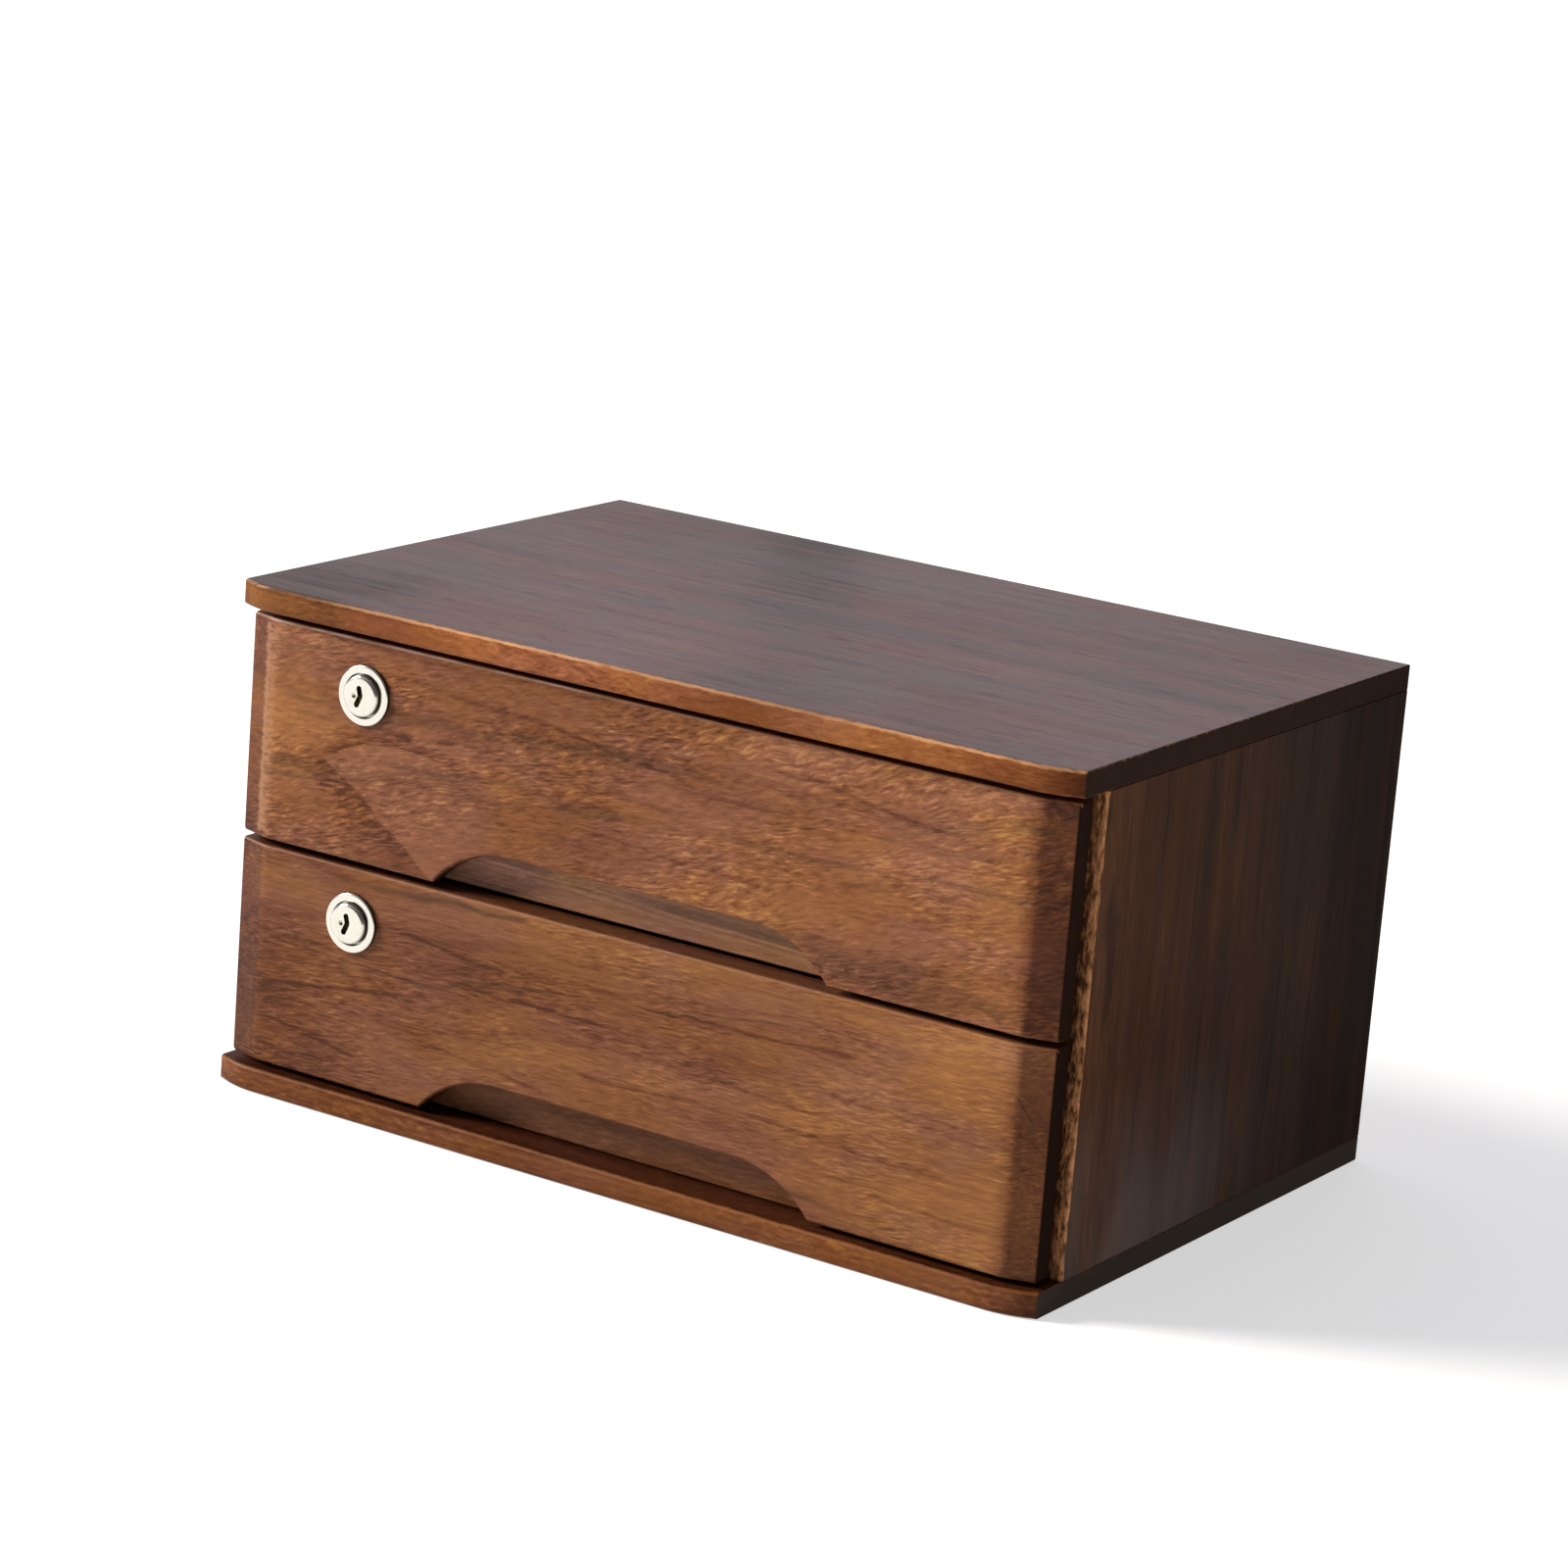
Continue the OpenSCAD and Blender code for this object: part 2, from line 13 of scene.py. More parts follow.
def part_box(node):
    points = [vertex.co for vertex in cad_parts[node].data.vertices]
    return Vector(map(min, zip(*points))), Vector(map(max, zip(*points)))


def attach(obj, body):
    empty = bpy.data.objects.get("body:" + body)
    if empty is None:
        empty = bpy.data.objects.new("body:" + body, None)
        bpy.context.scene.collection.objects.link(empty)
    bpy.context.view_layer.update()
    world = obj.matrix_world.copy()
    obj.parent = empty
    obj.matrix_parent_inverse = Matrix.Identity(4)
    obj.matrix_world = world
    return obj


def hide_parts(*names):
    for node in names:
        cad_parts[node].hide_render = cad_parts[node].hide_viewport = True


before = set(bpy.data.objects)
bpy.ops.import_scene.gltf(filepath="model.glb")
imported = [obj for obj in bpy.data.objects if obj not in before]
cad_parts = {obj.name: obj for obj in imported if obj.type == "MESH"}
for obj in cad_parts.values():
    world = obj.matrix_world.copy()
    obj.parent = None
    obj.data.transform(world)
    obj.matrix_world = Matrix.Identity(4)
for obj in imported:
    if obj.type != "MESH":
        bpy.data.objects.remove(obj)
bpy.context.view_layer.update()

MM = 0.001
rng = random.Random(41)


def add_object(name, data):
    made = bpy.data.objects.new(name, data)
    bpy.context.scene.collection.objects.link(made)
    return made


def add_mesh(name, bm):
    mesh = bpy.data.meshes.new(name)
    bm.to_mesh(mesh)
    bm.free()
    return add_object(name, mesh)


# ---------------- camera, light and floor

CAMERA_AT = Vector((0.8881, -1.4225, 0.5533))
LOOK = Vector((-0.51775, 0.81843, -0.24920)).normalized()
ROLL = math.radians(4.533)
LENS, SENSOR = 115.0, 36.0

# The low sun of a window, at the front left, and the studio around it
SUN_FROM, SUN_STRENGTH, SUN_TONE, SUN_ANGLE = (-0.80, -0.36, 0.48), 6.0, (1.0, 0.955, 0.89), 24
BRIGHT_SIDE = (-0.62, 0.75, 0.24)
STUDIO_TONES = [(0.30, (0.09, 0.09, 0.10)), (0.95, (0.66, 0.645, 0.70))]
FLOOR_HALF, FLOOR_GAP = 25.0, 0.0001


def add_camera():
    """The photo's view, with its slight roll."""
    level = LOOK.cross(Vector((0, 0, 1))).normalized()
    upright = level.cross(LOOK)
    right = level * math.cos(ROLL) + upright * math.sin(ROLL)
    up = upright * math.cos(ROLL) - level * math.sin(ROLL)
    data = bpy.data.cameras.new("camera")
    data.lens = LENS
    data.sensor_width = SENSOR
    data.clip_end = 100.0
    camera = add_object("camera", data)
    turn = Matrix((right, up, -LOOK)).transposed().to_4x4()
    camera.matrix_world = Matrix.Translation(CAMERA_AT) @ turn
    bpy.context.scene.camera = camera


def add_sun():
    data = bpy.data.lights.new("window", "SUN")
    data.energy = SUN_STRENGTH
    data.color = SUN_TONE
    data.angle = math.radians(SUN_ANGLE)
    lamp = add_object("window", data)
    lamp.rotation_euler = Vector(SUN_FROM).to_track_quat("Z", "Y").to_euler()


def add_studio():
    """The surroundings: brighter to the back and the left, dark on the right."""
    world = bpy.data.worlds.new("studio")
    world.use_nodes = True
    links, nodes = world.node_tree.links, world.node_tree.nodes
    towards = nodes.new("ShaderNodeTexCoord")
    facing = nodes.new("ShaderNodeVectorMath")
    facing.operation = "DOT_PRODUCT"
    facing.inputs[1].default_value = BRIGHT_SIDE
    links.new(towards.outputs["Generated"], facing.inputs[0])
    glow = nodes.new("ShaderNodeValToRGB")
    for element, (at, colour) in zip(glow.color_ramp.elements, STUDIO_TONES):
        element.position = at
        element.color = (*colour, 1.0)
    spread = nodes.new("ShaderNodeMapRange")
    spread.inputs["From Min"].default_value = -1.0
    links.new(facing.outputs["Value"], spread.inputs["Value"])
    links.new(spread.outputs["Result"], glow.inputs["Fac"])
    links.new(glow.outputs["Color"], nodes["Background"].inputs["Color"])
    nodes["Background"].inputs["Strength"].default_value = 1.0
    bpy.context.scene.world = world
    bpy.context.scene.view_settings.view_transform = "Standard"


def add_floor():
    bm = bmesh.new()
    bmesh.ops.create_grid(bm, x_segments=8, y_segments=8, size=FLOOR_HALF)
    floor = add_mesh("floor", bm)
    floor.location.z = -FLOOR_GAP
    floor.data.materials.append(floor_paint("floor_paint"))


# ---------------- shader building

class Graph:
    """A material's node tree, with one short call for each kind of node."""

    def __init__(self, name):
        self.material = bpy.data.materials.new(name)
        self.material.use_nodes = True
        self.nodes = self.material.node_tree.nodes
        self.links = self.material.node_tree.links
        self.nodes.clear()

    def put(self, socket, value):
        if isinstance(value, bpy.types.NodeSocket):
            self.links.new(value, socket)
        elif value is not None:
            socket.default_value = value

    def node(self, kind, inputs=(), **settings):
        made = self.nodes.new(kind)
        for key, value in settings.items():
            setattr(made, key, value)
        for key, value in dict(inputs).items():
            self.put(made.inputs[key], value)
        return made

    def math(self, operation, a, b=None, c=None):
        return self.node("ShaderNodeMath", {0: a, 1: b, 2: c}, operation=operation).outputs[0]

    def times(self, a, b):
        return self.math("MULTIPLY", a, b)

    def line(self, value, slope, start):
        """value times slope, plus start."""
        return self.math("MULTIPLY_ADD", value, slope, start)

    def abs(self, value):
        return self.math("ABSOLUTE", value)

    def vector(self, operation, a, b=None):
        made = self.node("ShaderNodeVectorMath", {0: a, 1: b}, operation=operation)
        return made.outputs["Value" if operation == "LENGTH" else "Vector"]

    def split(self, vector):
        return self.node("ShaderNodeSeparateXYZ", {0: vector}).outputs[:]

    def join(self, x, y, z):
        return self.node("ShaderNodeCombineXYZ", {0: x, 1: y, 2: z}).outputs[0]

    def millimetres(self, coords):
        return self.vector("MULTIPLY", coords.outputs["Object"], (1000, 1000, 1000))

    def noise(self, vector, periods, detail=2.0, rough=0.5, warp=0.0, colour=False):
        """Noise over a vector in millimetres, with the size of its features along each axis."""
        scaled = self.vector("MULTIPLY", vector, [1 / p for p in periods])
        made = self.node("ShaderNodeTexNoise", {
            "Vector": scaled, "Scale": 1.0, "Detail": detail, "Roughness": rough,
            "Distortion": warp})
        return made.outputs["Color" if colour else "Fac"]

    def line_noise(self, value, period, detail=2.0, rough=0.5):
        """Noise along one line: bands of uneven width as value grows."""
        made = self.node("ShaderNodeTexNoise", {
            "W": self.math("DIVIDE", value, period), "Scale": 1.0, "Detail": detail,
            "Roughness": rough}, noise_dimensions="1D")
        return made.outputs["Fac"]

    def step(self, value, low, high, out_low=0.0, out_high=1.0):
        """A smooth step from out_low to out_high as value goes from low to high."""
        made = self.node("ShaderNodeMapRange", {
            "Value": value, "From Min": low, "From Max": high, "To Min": out_low,
            "To Max": out_high}, interpolation_type="SMOOTHSTEP", clamp=True)
        return made.outputs["Result"]

    def ramp(self, value, stops):
        made = self.node("ShaderNodeValToRGB", {"Fac": value})
        elements = made.color_ramp.elements
        while len(elements) < len(stops):
            elements.new(0.5)
        for element, (at, colour) in zip(elements, stops):
            element.position = at
            element.color = (*colour, 1.0)
        return made.outputs["Color"]

    def mix(self, share, a, b, blend="MIX"):
        made = self.node("ShaderNodeMix", data_type="RGBA", blend_type=blend)
        self.put(made.inputs[0], share)
        for socket, value in ((made.inputs[6], a), (made.inputs[7], b)):
            self.put(socket, (*value, 1.0) if isinstance(value, tuple) else value)
        return made.outputs[2]

    def scaled(self, colour, by):
        return self.mix(1.0, colour, by, "MULTIPLY")

    def sum(self, parts):
        """0.5 plus each weight times (value - 0.5)."""
        total = 0.5
        for value, weight in parts:
            total = self.line(self.math("SUBTRACT", value, 0.5), weight, total)
        return total

    def bump(self, height, strength, distance):
        made = self.node("ShaderNodeBump", {
            "Height": height, "Strength": strength, "Distance": distance})
        return made.outputs["Normal"]

    def finish(self, **inputs):
        shader = self.node("ShaderNodeBsdfPrincipled")
        for key, value in inputs.items():
            self.put(shader.inputs[key.replace("_", " ")], value)
        self.node("ShaderNodeOutputMaterial", {"Surface": shader.outputs[0]})
        return self.material


def linear(*rgb):
    """A colour read off a screen, 0 to 255, as linear light."""
    def one(value):
        share = value / 255
        return share / 12.92 if share <= 0.04045 else ((share + 0.055) / 1.055) ** 2.4
    return tuple(one(value) for value in rgb)


def tint(tone, gain=1.0):
    """A screen tone as linear light, times a gain for all channels or one for each."""
    gains = gain if isinstance(gain, tuple) else (gain,) * 3
    return tuple(value * g for value, g in zip(linear(*tone), gains))


# Screen tones of the stained wood, from its darkest streaks to its brightest flecks
WARM = [(0.10, (88, 50, 30)), (0.28, (116, 70, 45)), (0.42, (132, 84, 57)),
        (0.52, (142, 93, 65)), (0.64, (152, 103, 72)), (0.80, (168, 117, 80)),
        (0.96, (186, 134, 90))]
DARK = [(0.12, (34, 23, 20)), (0.34, (46, 31, 25)), (0.50, (54, 36, 29)),
        (0.68, (64, 45, 36)), (0.90, (80, 60, 48))]
GREYED = [(0.12, (92, 56, 36)), (0.34, (114, 74, 50)), (0.50, (125, 88, 66)),
          (0.68, (140, 102, 78)), (0.90, (156, 118, 92))]
PALE = [(0.15, (140, 108, 76)), (0.35, (165, 130, 94)), (0.50, (180, 146, 108)),
        (0.65, (193, 160, 122)), (0.85, (208, 178, 140))]


# What the wood's colour is multiplied by where the stain took differently, and as painted shade
GOLDEN, PINKISH = (1.04, 1.01, 0.80), (0.98, 0.96, 1.12)
SEAM_SHADE, PORE_SHADE = (0.44, 0.47, 0.48), (0.3, 0.28, 0.3)
# Painted shade: on faces that look up, and on faces turned towards the ends
UP_PAINTED_SHADE, TURNED_PAINTED_SHADE = (0.30, 0.225, 0.26), (0.42, 0.30, 0.26)

# Dark streaks of the upper and the lower front's face: (from, to, width), in X and Z
SHORT_VEINS = [((-101, 158), (-36, 154), 1.9), ((-36, 154), (22, 146), 1.6),
               ((-42, 136), (21, 136), 1.5), ((-136, 169), (-69, 165), 1.6),
               ((-20, 122), (60, 117), 1.3), ((52, 158), (128, 150), 1.4)]
LONG_VEINS = [((-146, 41), (-86, 49), 1.4), ((-148, 28), (-106, 22), 1.4),
              ((-68, 58), (-4, 57), 1.5), ((-18, 38), (36, 40), 1.3),
              ((52, 41), (130, 38), 1.7), ((10, 67), (92, 70), 1.5),
              ((-100, 72), (-52, 66), 1.2), ((84, 55), (146, 52), 1.4),
              ((28, 50), (88, 47), 1.2), ((96, 26), (150, 24), 1.2),
              ((-84, 34), (-30, 29), 1.2)]


# How far a normal points before a face starts to count, and fully counts, as looking up
# and as end grain
FACES_UP, END_GRAIN = (0.55, 0.98), (0.42, 0.85)
RELIEF, GRAIN_DEPTH = 0.1, 0.4 * MM


def wood(name, tones, gain=1.0, grain="X", shift=(0, 0, 0), pith=(60, -40), tilt=0.0,
         waver=8.0, band=(14.0, 0.4), lines=(2.6, 0.4), fleck=(0.8, 10, 4.5, 1.3),
         fibre=0.3, blotch=0.4, streaks=0.6, pores=0.3, up_dark=0.0, end_dark=0.6,
         end_tone=(44, 28, 21), turned=(0.1, 0.3, 0.0), worn=0.5, worn_tone=(186, 130, 92),
         rough=(0.34, 0.46), gloss=0.18, up_gloss=None, marks=0.0, low_sheen=None,
         figure=None, tone_and_sheen=None, painted_highlight_tone=None, right_only=False):
    """Stained solid wood. Lengths are in millimetres, and grain names the axis it runs along.

    pith is where the tree's middle lies across the grain and tilt is how fast the grain
    climbs. band and lines are (width, weight) of the broad and fine growth rings, and fleck
    is (weight, lean, length, width) of the short bright curls. up_dark is how much painted
    shade darkens a face that looks up. turned is (from, to, share): how far a face must turn
    to the ends to get painted shade, darker and redder. up_gloss is the gloss of a face that
    looks up, and marks how much duller its dark dashes are. low_sheen is (height, gloss) of
    extra gloss that is kept low down near the front, where hands do not rub it. figure adds
    to one piece's pattern, on some pieces with painted light and shade, and tone_and_sheen
    scales its depth of tone and its sheen, which on the top board is painted reflection.
    painted_highlight_tone is that of a painted highlight on an arris, where
    wear_and_painted_light is more than one. With right_only the turned painted shade is left
    out at the left end, which the window lights.
    """
    g = Graph(name)
    coords = g.node("ShaderNodeTexCoord")
    here = g.millimetres(coords)
    x, y, z = g.split(here)
    place = g.vector("ADD", here, shift)
    normal_x, normal_y, normal_z = g.split(coords.outputs["Normal"])
    along_normal = {"X": normal_x, "Y": normal_y, "Z": normal_z}[grain]
    if grain != "X":
        px, py, pz = g.split(place)
        place = g.join(pz, py, px) if grain == "Z" else g.join(py, px, pz)

    def sway(vector, periods, amount, detail):
        drift = g.noise(vector, periods, detail=detail, colour=True)
        drift = g.vector("SUBTRACT", drift, (0.5, 0.5, 0.5))
        return g.vector("MULTIPLY", drift, (0, amount, amount))

    flow = g.vector("ADD", place, sway(place, (170, 42, 42), waver, 2.0))
    flow = g.vector("ADD", flow, sway(place, (30, 12, 12), waver * 0.18, 1.0))
    a, b, c = g.split(flow)
    across = g.math("SUBTRACT", b, pith[0])
    climb = g.line(a, tilt, g.math("SUBTRACT", c, pith[1]))
    radius = g.vector("LENGTH", g.join(0.0, across, climb))
    broad = g.line_noise(radius, band[0], detail=2.5, rough=0.55)
    fine = g.line_noise(g.math("ADD", radius, 31.7), lines[0], rough=0.6)
    fibres = g.noise(flow, (22, 0.6, 0.6), rough=0.6)
    patches = g.noise(place, (70, 30, 30), detail=1.5)
    parts = [(broad, band[1]), (fine, lines[1]), (fibres, fibre), (patches, blotch)]

    weight, lean, length, width = fleck
    curly = g.vector("ADD", flow, sway(place, (13, 8, 8), width * 3.2, 1.0))
    curly = g.node("ShaderNodeVectorRotate", {
        "Vector": curly, "Angle": math.radians(lean)}, rotation_type="Y_AXIS").outputs[0]
    curls = g.noise(curly, (length, width * 1.6, width), detail=2.5, rough=0.6, warp=0.35)
    lively = g.step(g.noise(place, (55, 24, 24), detail=1.0), 0.36, 0.60, 0.55, 1.15)
    curls = g.line(g.math("SUBTRACT", curls, 0.5), lively, 0.5)
    parts.append((curls, weight))
    value = g.line(g.step(curls, 0.56, 0.74), weight * 0.09, g.sum(parts))
    hue = g.noise(place, (38, 16, 16))
    if figure:
        value, hue = figure(g, (x, y, z), value, hue, place)

    colour = g.ramp(value, [(at, tint(tone, gain)) for at, tone in tones])
    colour = g.mix(g.step(hue, 0.36, 0.62), g.scaled(colour, PINKISH), g.scaled(colour, GOLDEN))
    if streaks:
        seam = g.line_noise(g.math("ADD", radius, 77.3), 9.0, detail=1.0)
        seam = g.abs(g.math("SUBTRACT", seam, 0.5))
        thread = g.step(seam, 0.0, 0.045, 1, 0)
        broken = g.step(g.noise(flow, (46, 9, 9)), 0.42, 0.62)
        share = g.times(g.times(thread, broken), streaks)
        colour = g.mix(share, colour, g.scaled(colour, SEAM_SHADE))
    dash = g.noise(flow, (6.0, 0.42, 0.42), detail=1.0, rough=0.4)
    gather = g.step(fine, 0.46, 0.62, 0.25, 1.0)
    dash = g.times(g.step(dash, 0.62, 0.74), gather)
    colour = g.mix(g.times(dash, pores), colour, g.scaled(colour, PORE_SHADE))
    # Painted shade: faces that look up are darkened by up_dark
    if up_dark:
        colour = g.mix(g.step(normal_z, *FACES_UP, 0.0, up_dark), colour,
                       g.scaled(colour, UP_PAINTED_SHADE))
    # Painted shade: faces turned towards the ends are made darker and redder, with right_only
    # only at the right end, away from the window
    if turned[2]:
        away = along_normal if right_only else g.abs(along_normal)
        colour = g.mix(g.step(away, *turned[:2], 0.0, turned[2]), colour,
                       g.scaled(colour, TURNED_PAINTED_SHADE))
    ends = g.step(g.abs(along_normal), *END_GRAIN)
    colour = g.mix(g.times(ends, end_dark), colour, tint(end_tone, gain))
    # Worn arrises and spots, with painted highlight where the attribute is above one and in the
    # worn band at the fronts' left bends
    wear_and_painted_light = g.node("ShaderNodeAttribute", attribute_name="wear_and_painted_light").outputs["Fac"]
    rub = g.noise(place, (5, 1.6, 1.6), detail=3.0, rough=0.7)
    rub = g.line(g.math("SUBTRACT", rub, 0.5), 0.85, 0.5)
    rub = g.times(g.step(g.line(wear_and_painted_light, 0.5, rub), 0.66, 0.98), g.step(wear_and_painted_light, 0.0, 0.2))
    colour = g.mix(g.times(rub, worn), colour, tint(worn_tone, gain))
    # Painted highlight on an arris that catches the light, where the attribute is above one
    if painted_highlight_tone:
        broken = g.step(g.noise(place, (18, 5, 5), rough=0.6), 0.40, 0.60, 0.2, 1.0)
        painted_highlight = g.times(g.step(wear_and_painted_light, 0.95, 1.4), broken)
        colour = g.mix(painted_highlight, colour, tint(painted_highlight_tone, gain))

    sheen = gloss if up_gloss is None else g.step(normal_z, *FACES_UP, gloss, up_gloss)
    sheen = g.times(g.line(ends, -0.97, 1.0), sheen)
    if marks:
        dull = g.noise(flow, (11, 1.5, 1.5), rough=0.55)
        rows = g.step(g.line_noise(g.math("ADD", radius, 11.9), 9.0), 0.44, 0.62, 0.12, 1.0)
        dull = g.times(g.step(dull, 0.46, 0.70, 0.0, marks), rows)
        cloud = g.noise(place, (120, 45, 45))
        cloud = g.step(cloud, 0.36, 0.64, 0.82, 1.12)
        sheen = g.times(g.times(sheen, cloud), g.math("SUBTRACT", 1.0, dull))
    if low_sheen:
        kept = g.times(g.step(z, 12, *low_sheen, 0.0), g.step(y, -66, 50, 1, 0))
        cloud = g.noise(place, (90, 34, 34), detail=1.0)
        kept = g.times(kept, g.step(cloud, 0.40, 0.60, 0.25, 1.0))
        sheen = g.math("ADD", sheen, kept)
    # Scales colour and sheen alike: on the top board this is painted reflection, on the side
    # panels it is darker and duller towards the back
    if tone_and_sheen:
        share = tone_and_sheen(g, (x, y, z))
        sheen = g.times(sheen, share)
        colour = g.scaled(colour, share)
    shine = g.sum([(patches, 0.5), (fibres, 0.5), (fine, 0.3)])
    roughness = g.step(shine, 0.2, 0.8, *rough)
    height = g.line(dash, -1.0, g.line(fibres, 0.35, fine))
    normal = g.bump(height, g.line(ends, -RELIEF, RELIEF), GRAIN_DEPTH)
    return g.finish(Base_Color=colour, Roughness=roughness, Normal=normal,
                    Specular_IOR_Level=sheen)


def vein(g, x, z, wobble, start, end, width):
    """A thin dark streak between two points of a front's face, fading at its ends."""
    slope = (end[1] - start[1]) / (end[0] - start[0])
    below = g.line(x, -slope, slope * start[0] - start[1])
    away = g.math("ADD", g.line(wobble, 0.45, z), below)
    near = g.step(g.abs(away), 0.0, width, 1, 0)
    near = g.times(near, g.step(x, start[0] - 6, start[0] + 8))
    return g.times(near, g.step(x, end[0] - 8, end[0] + 6, 1, 0))


def veins(g, at, wobble, value, streaks, depth):
    """value, made smaller by depth along each of the streaks."""
    for start, end, width in streaks:
        streak = vein(g, at[0], at[2], wobble, start, end, width)
        value = g.line(streak, -depth, value)
    return value


def shade(g, value, amount, *shares):
    """value, plus amount where all the shares are one."""
    share = shares[0]
    for other in shares[1:]:
        share = g.times(share, other)
    return g.line(share, amount, value)


def darker_left(g, at, value, hue, place):
    """A long straight figure, cut from darker wood towards its left end."""
    x, _, z = at
    value = g.math("ADD", value, g.step(g.line(z, 0.9, x), -130, 170, -0.11, 0.05))
    value = shade(g, value, -0.14, g.step(x, -140, -108, 1, 0), g.step(z, 62, 74, 1, 0))
    value = shade(g, value, 0.18, g.step(x, 70, 140), g.step(z, 44, 80, 0.5, 1))
    value = shade(g, value, 0.10, g.step(z, 70, 84), g.step(x, -125, -95))
    # Painted shade on the right end's facet, which faces away from the window
    value = shade(g, value, -0.12, g.step(x, 146, 152))
    wobble = g.noise(place, (40, 18, 18))
    wobble = g.times(g.math("SUBTRACT", wobble, 0.5), 7.0)
    return veins(g, at, wobble, value, LONG_VEINS, 0.25), hue


def painted_light_at_left(g, at, value, hue, place):
    """A board's front edge, but not its top, is paler towards the left: painted light, where the
    window lights it.
    """
    return shade(g, value, 0.26, g.step(at[0], -165, -80, 1, 0),
                 g.step(at[2], 177.5, 179, 1, 0)), hue


def darker_back(g, at, value, hue, place):
    """A side, darker towards the back."""
    return g.math("ADD", value, g.step(at[1], -95, 115, 0.11, -0.36)), hue


def dull_back(g, at):
    """Tone and sheen, darker and duller near the back."""
    return g.step(at[1], 50, 84, 1.0, 0.6)


def painted_reflection_and_grain(g, at):
    """The top's tone and sheen: painted reflection, dull in a slanting band, a corner and the
    back's ends and bright near the front, and streaked where the grain stands a little open."""
    x, y, z = at
    # Painted reflection: a dull slanting band, a bright patch near the front, a dull corner and
    # dull back ends
    band = g.line(x, 0.876, g.line(y, 0.482, 10))
    band = g.step(g.abs(band), 3, 34, 1, 0)
    share = shade(g, 1.0, -0.42, band, g.step(y, -60, 90, 0.35, 1))
    near = g.step(g.abs(g.math("ADD", x, 50)), 15, 85, 1, 0)
    share = shade(g, share, 0.26, near, g.step(y, -72, 34, 1, 0))
    share = shade(g, share, -0.40, g.step(x, -132, -106, 1, 0), g.step(y, -80, -46, 1, 0))
    edge = g.math("MAXIMUM", g.step(x, -100, -30, 1, 0), g.step(x, 110, 140))
    share = shade(g, share, -0.16, g.step(y, 60, 96), edge)
    streak = g.noise(g.join(x, y, z), (55, 1.5, 9), detail=3.0, rough=0.62)
    return shade(g, share, 1.9, g.math("SUBTRACT", streak, 0.5), g.step(z, 178.6, 179.6))


def feather(g, at, value, hue, place):
    """The light, crisp-edged patch of feathered figure low on the left of the upper front."""
    x, _, z = at
    wobble = g.noise(place, (24, 18, 18), detail=1.5)
    wobble = g.times(g.math("SUBTRACT", wobble, 0.5), 9.0)
    # The patch starts at a slanting line on its left
    slant = g.line(x, 0.583, g.times(z, 0.812))
    slant = g.math("ADD", slant, wobble)
    inside = g.step(slant, 26.6, 27.8)
    # and ends below a line that rises to x = -93 and then sinks slowly
    past = g.math("ADD", x, 93.0)
    rise = g.times(g.math("MINIMUM", past, 0.0), g.math("MINIMUM", past, 0.0))
    top = g.line(rise, -0.0065, 134.0)
    top = g.line(g.math("MAXIMUM", past, 0.0), -0.15, top)
    below = g.math("SUBTRACT", top, g.line(wobble, 0.6, z))
    fade = g.step(x, -76, -44, 1, 0)
    patch = g.times(g.times(inside, g.step(below, -0.5, 1.2)), fade)
    # Darker wood left of it and above it
    rim = g.times(g.step(slant, 12.0, 26.8), g.math("SUBTRACT", 1.0, inside))
    over = g.times(g.step(below, -9.0, -0.3), g.step(below, -0.3, 0.3, 1, 0))
    dark = g.math("MAXIMUM", g.times(rim, g.step(below, -4, 2)),
                  g.times(over, g.times(inside, fade)))
    dark = g.times(dark, g.step(x, -150, -126))
    dark = g.times(dark, g.step(x, -60, -90))
    # Inside it the figure is calmer and lighter
    calm = g.line(g.math("SUBTRACT", value, 0.53), 0.85, 0.585)
    value = g.line(patch, g.math("SUBTRACT", calm, value), value)
    value = g.line(dark, -0.24, value)
    # Broad lighter and darker areas of the whole face
    value = shade(g, value, 0.20, g.step(x, -142, -104, 1, 0), g.step(z, 122, 142))
    value = shade(g, value, 0.20, g.step(z, 143, 162), g.step(x, 0, 60))
    away = g.abs(g.math("ADD", x, 37))
    value = shade(g, value, -0.09, g.step(away, 18, 52, 1, 0))
    value = shade(g, value, 0.06, g.step(x, 100, 140))
    # Painted shade on the right end's facet, which faces away from the window
    value = shade(g, value, -0.20, g.step(x, 146, 152))
    value = veins(g, at, wobble, value, SHORT_VEINS, 0.2)
    return value, g.line(patch, -0.30, hue)


# Dirt and painted shade in the locks' corners, grooves and rims
GRIME_AND_SHADE = (44, 38, 26)


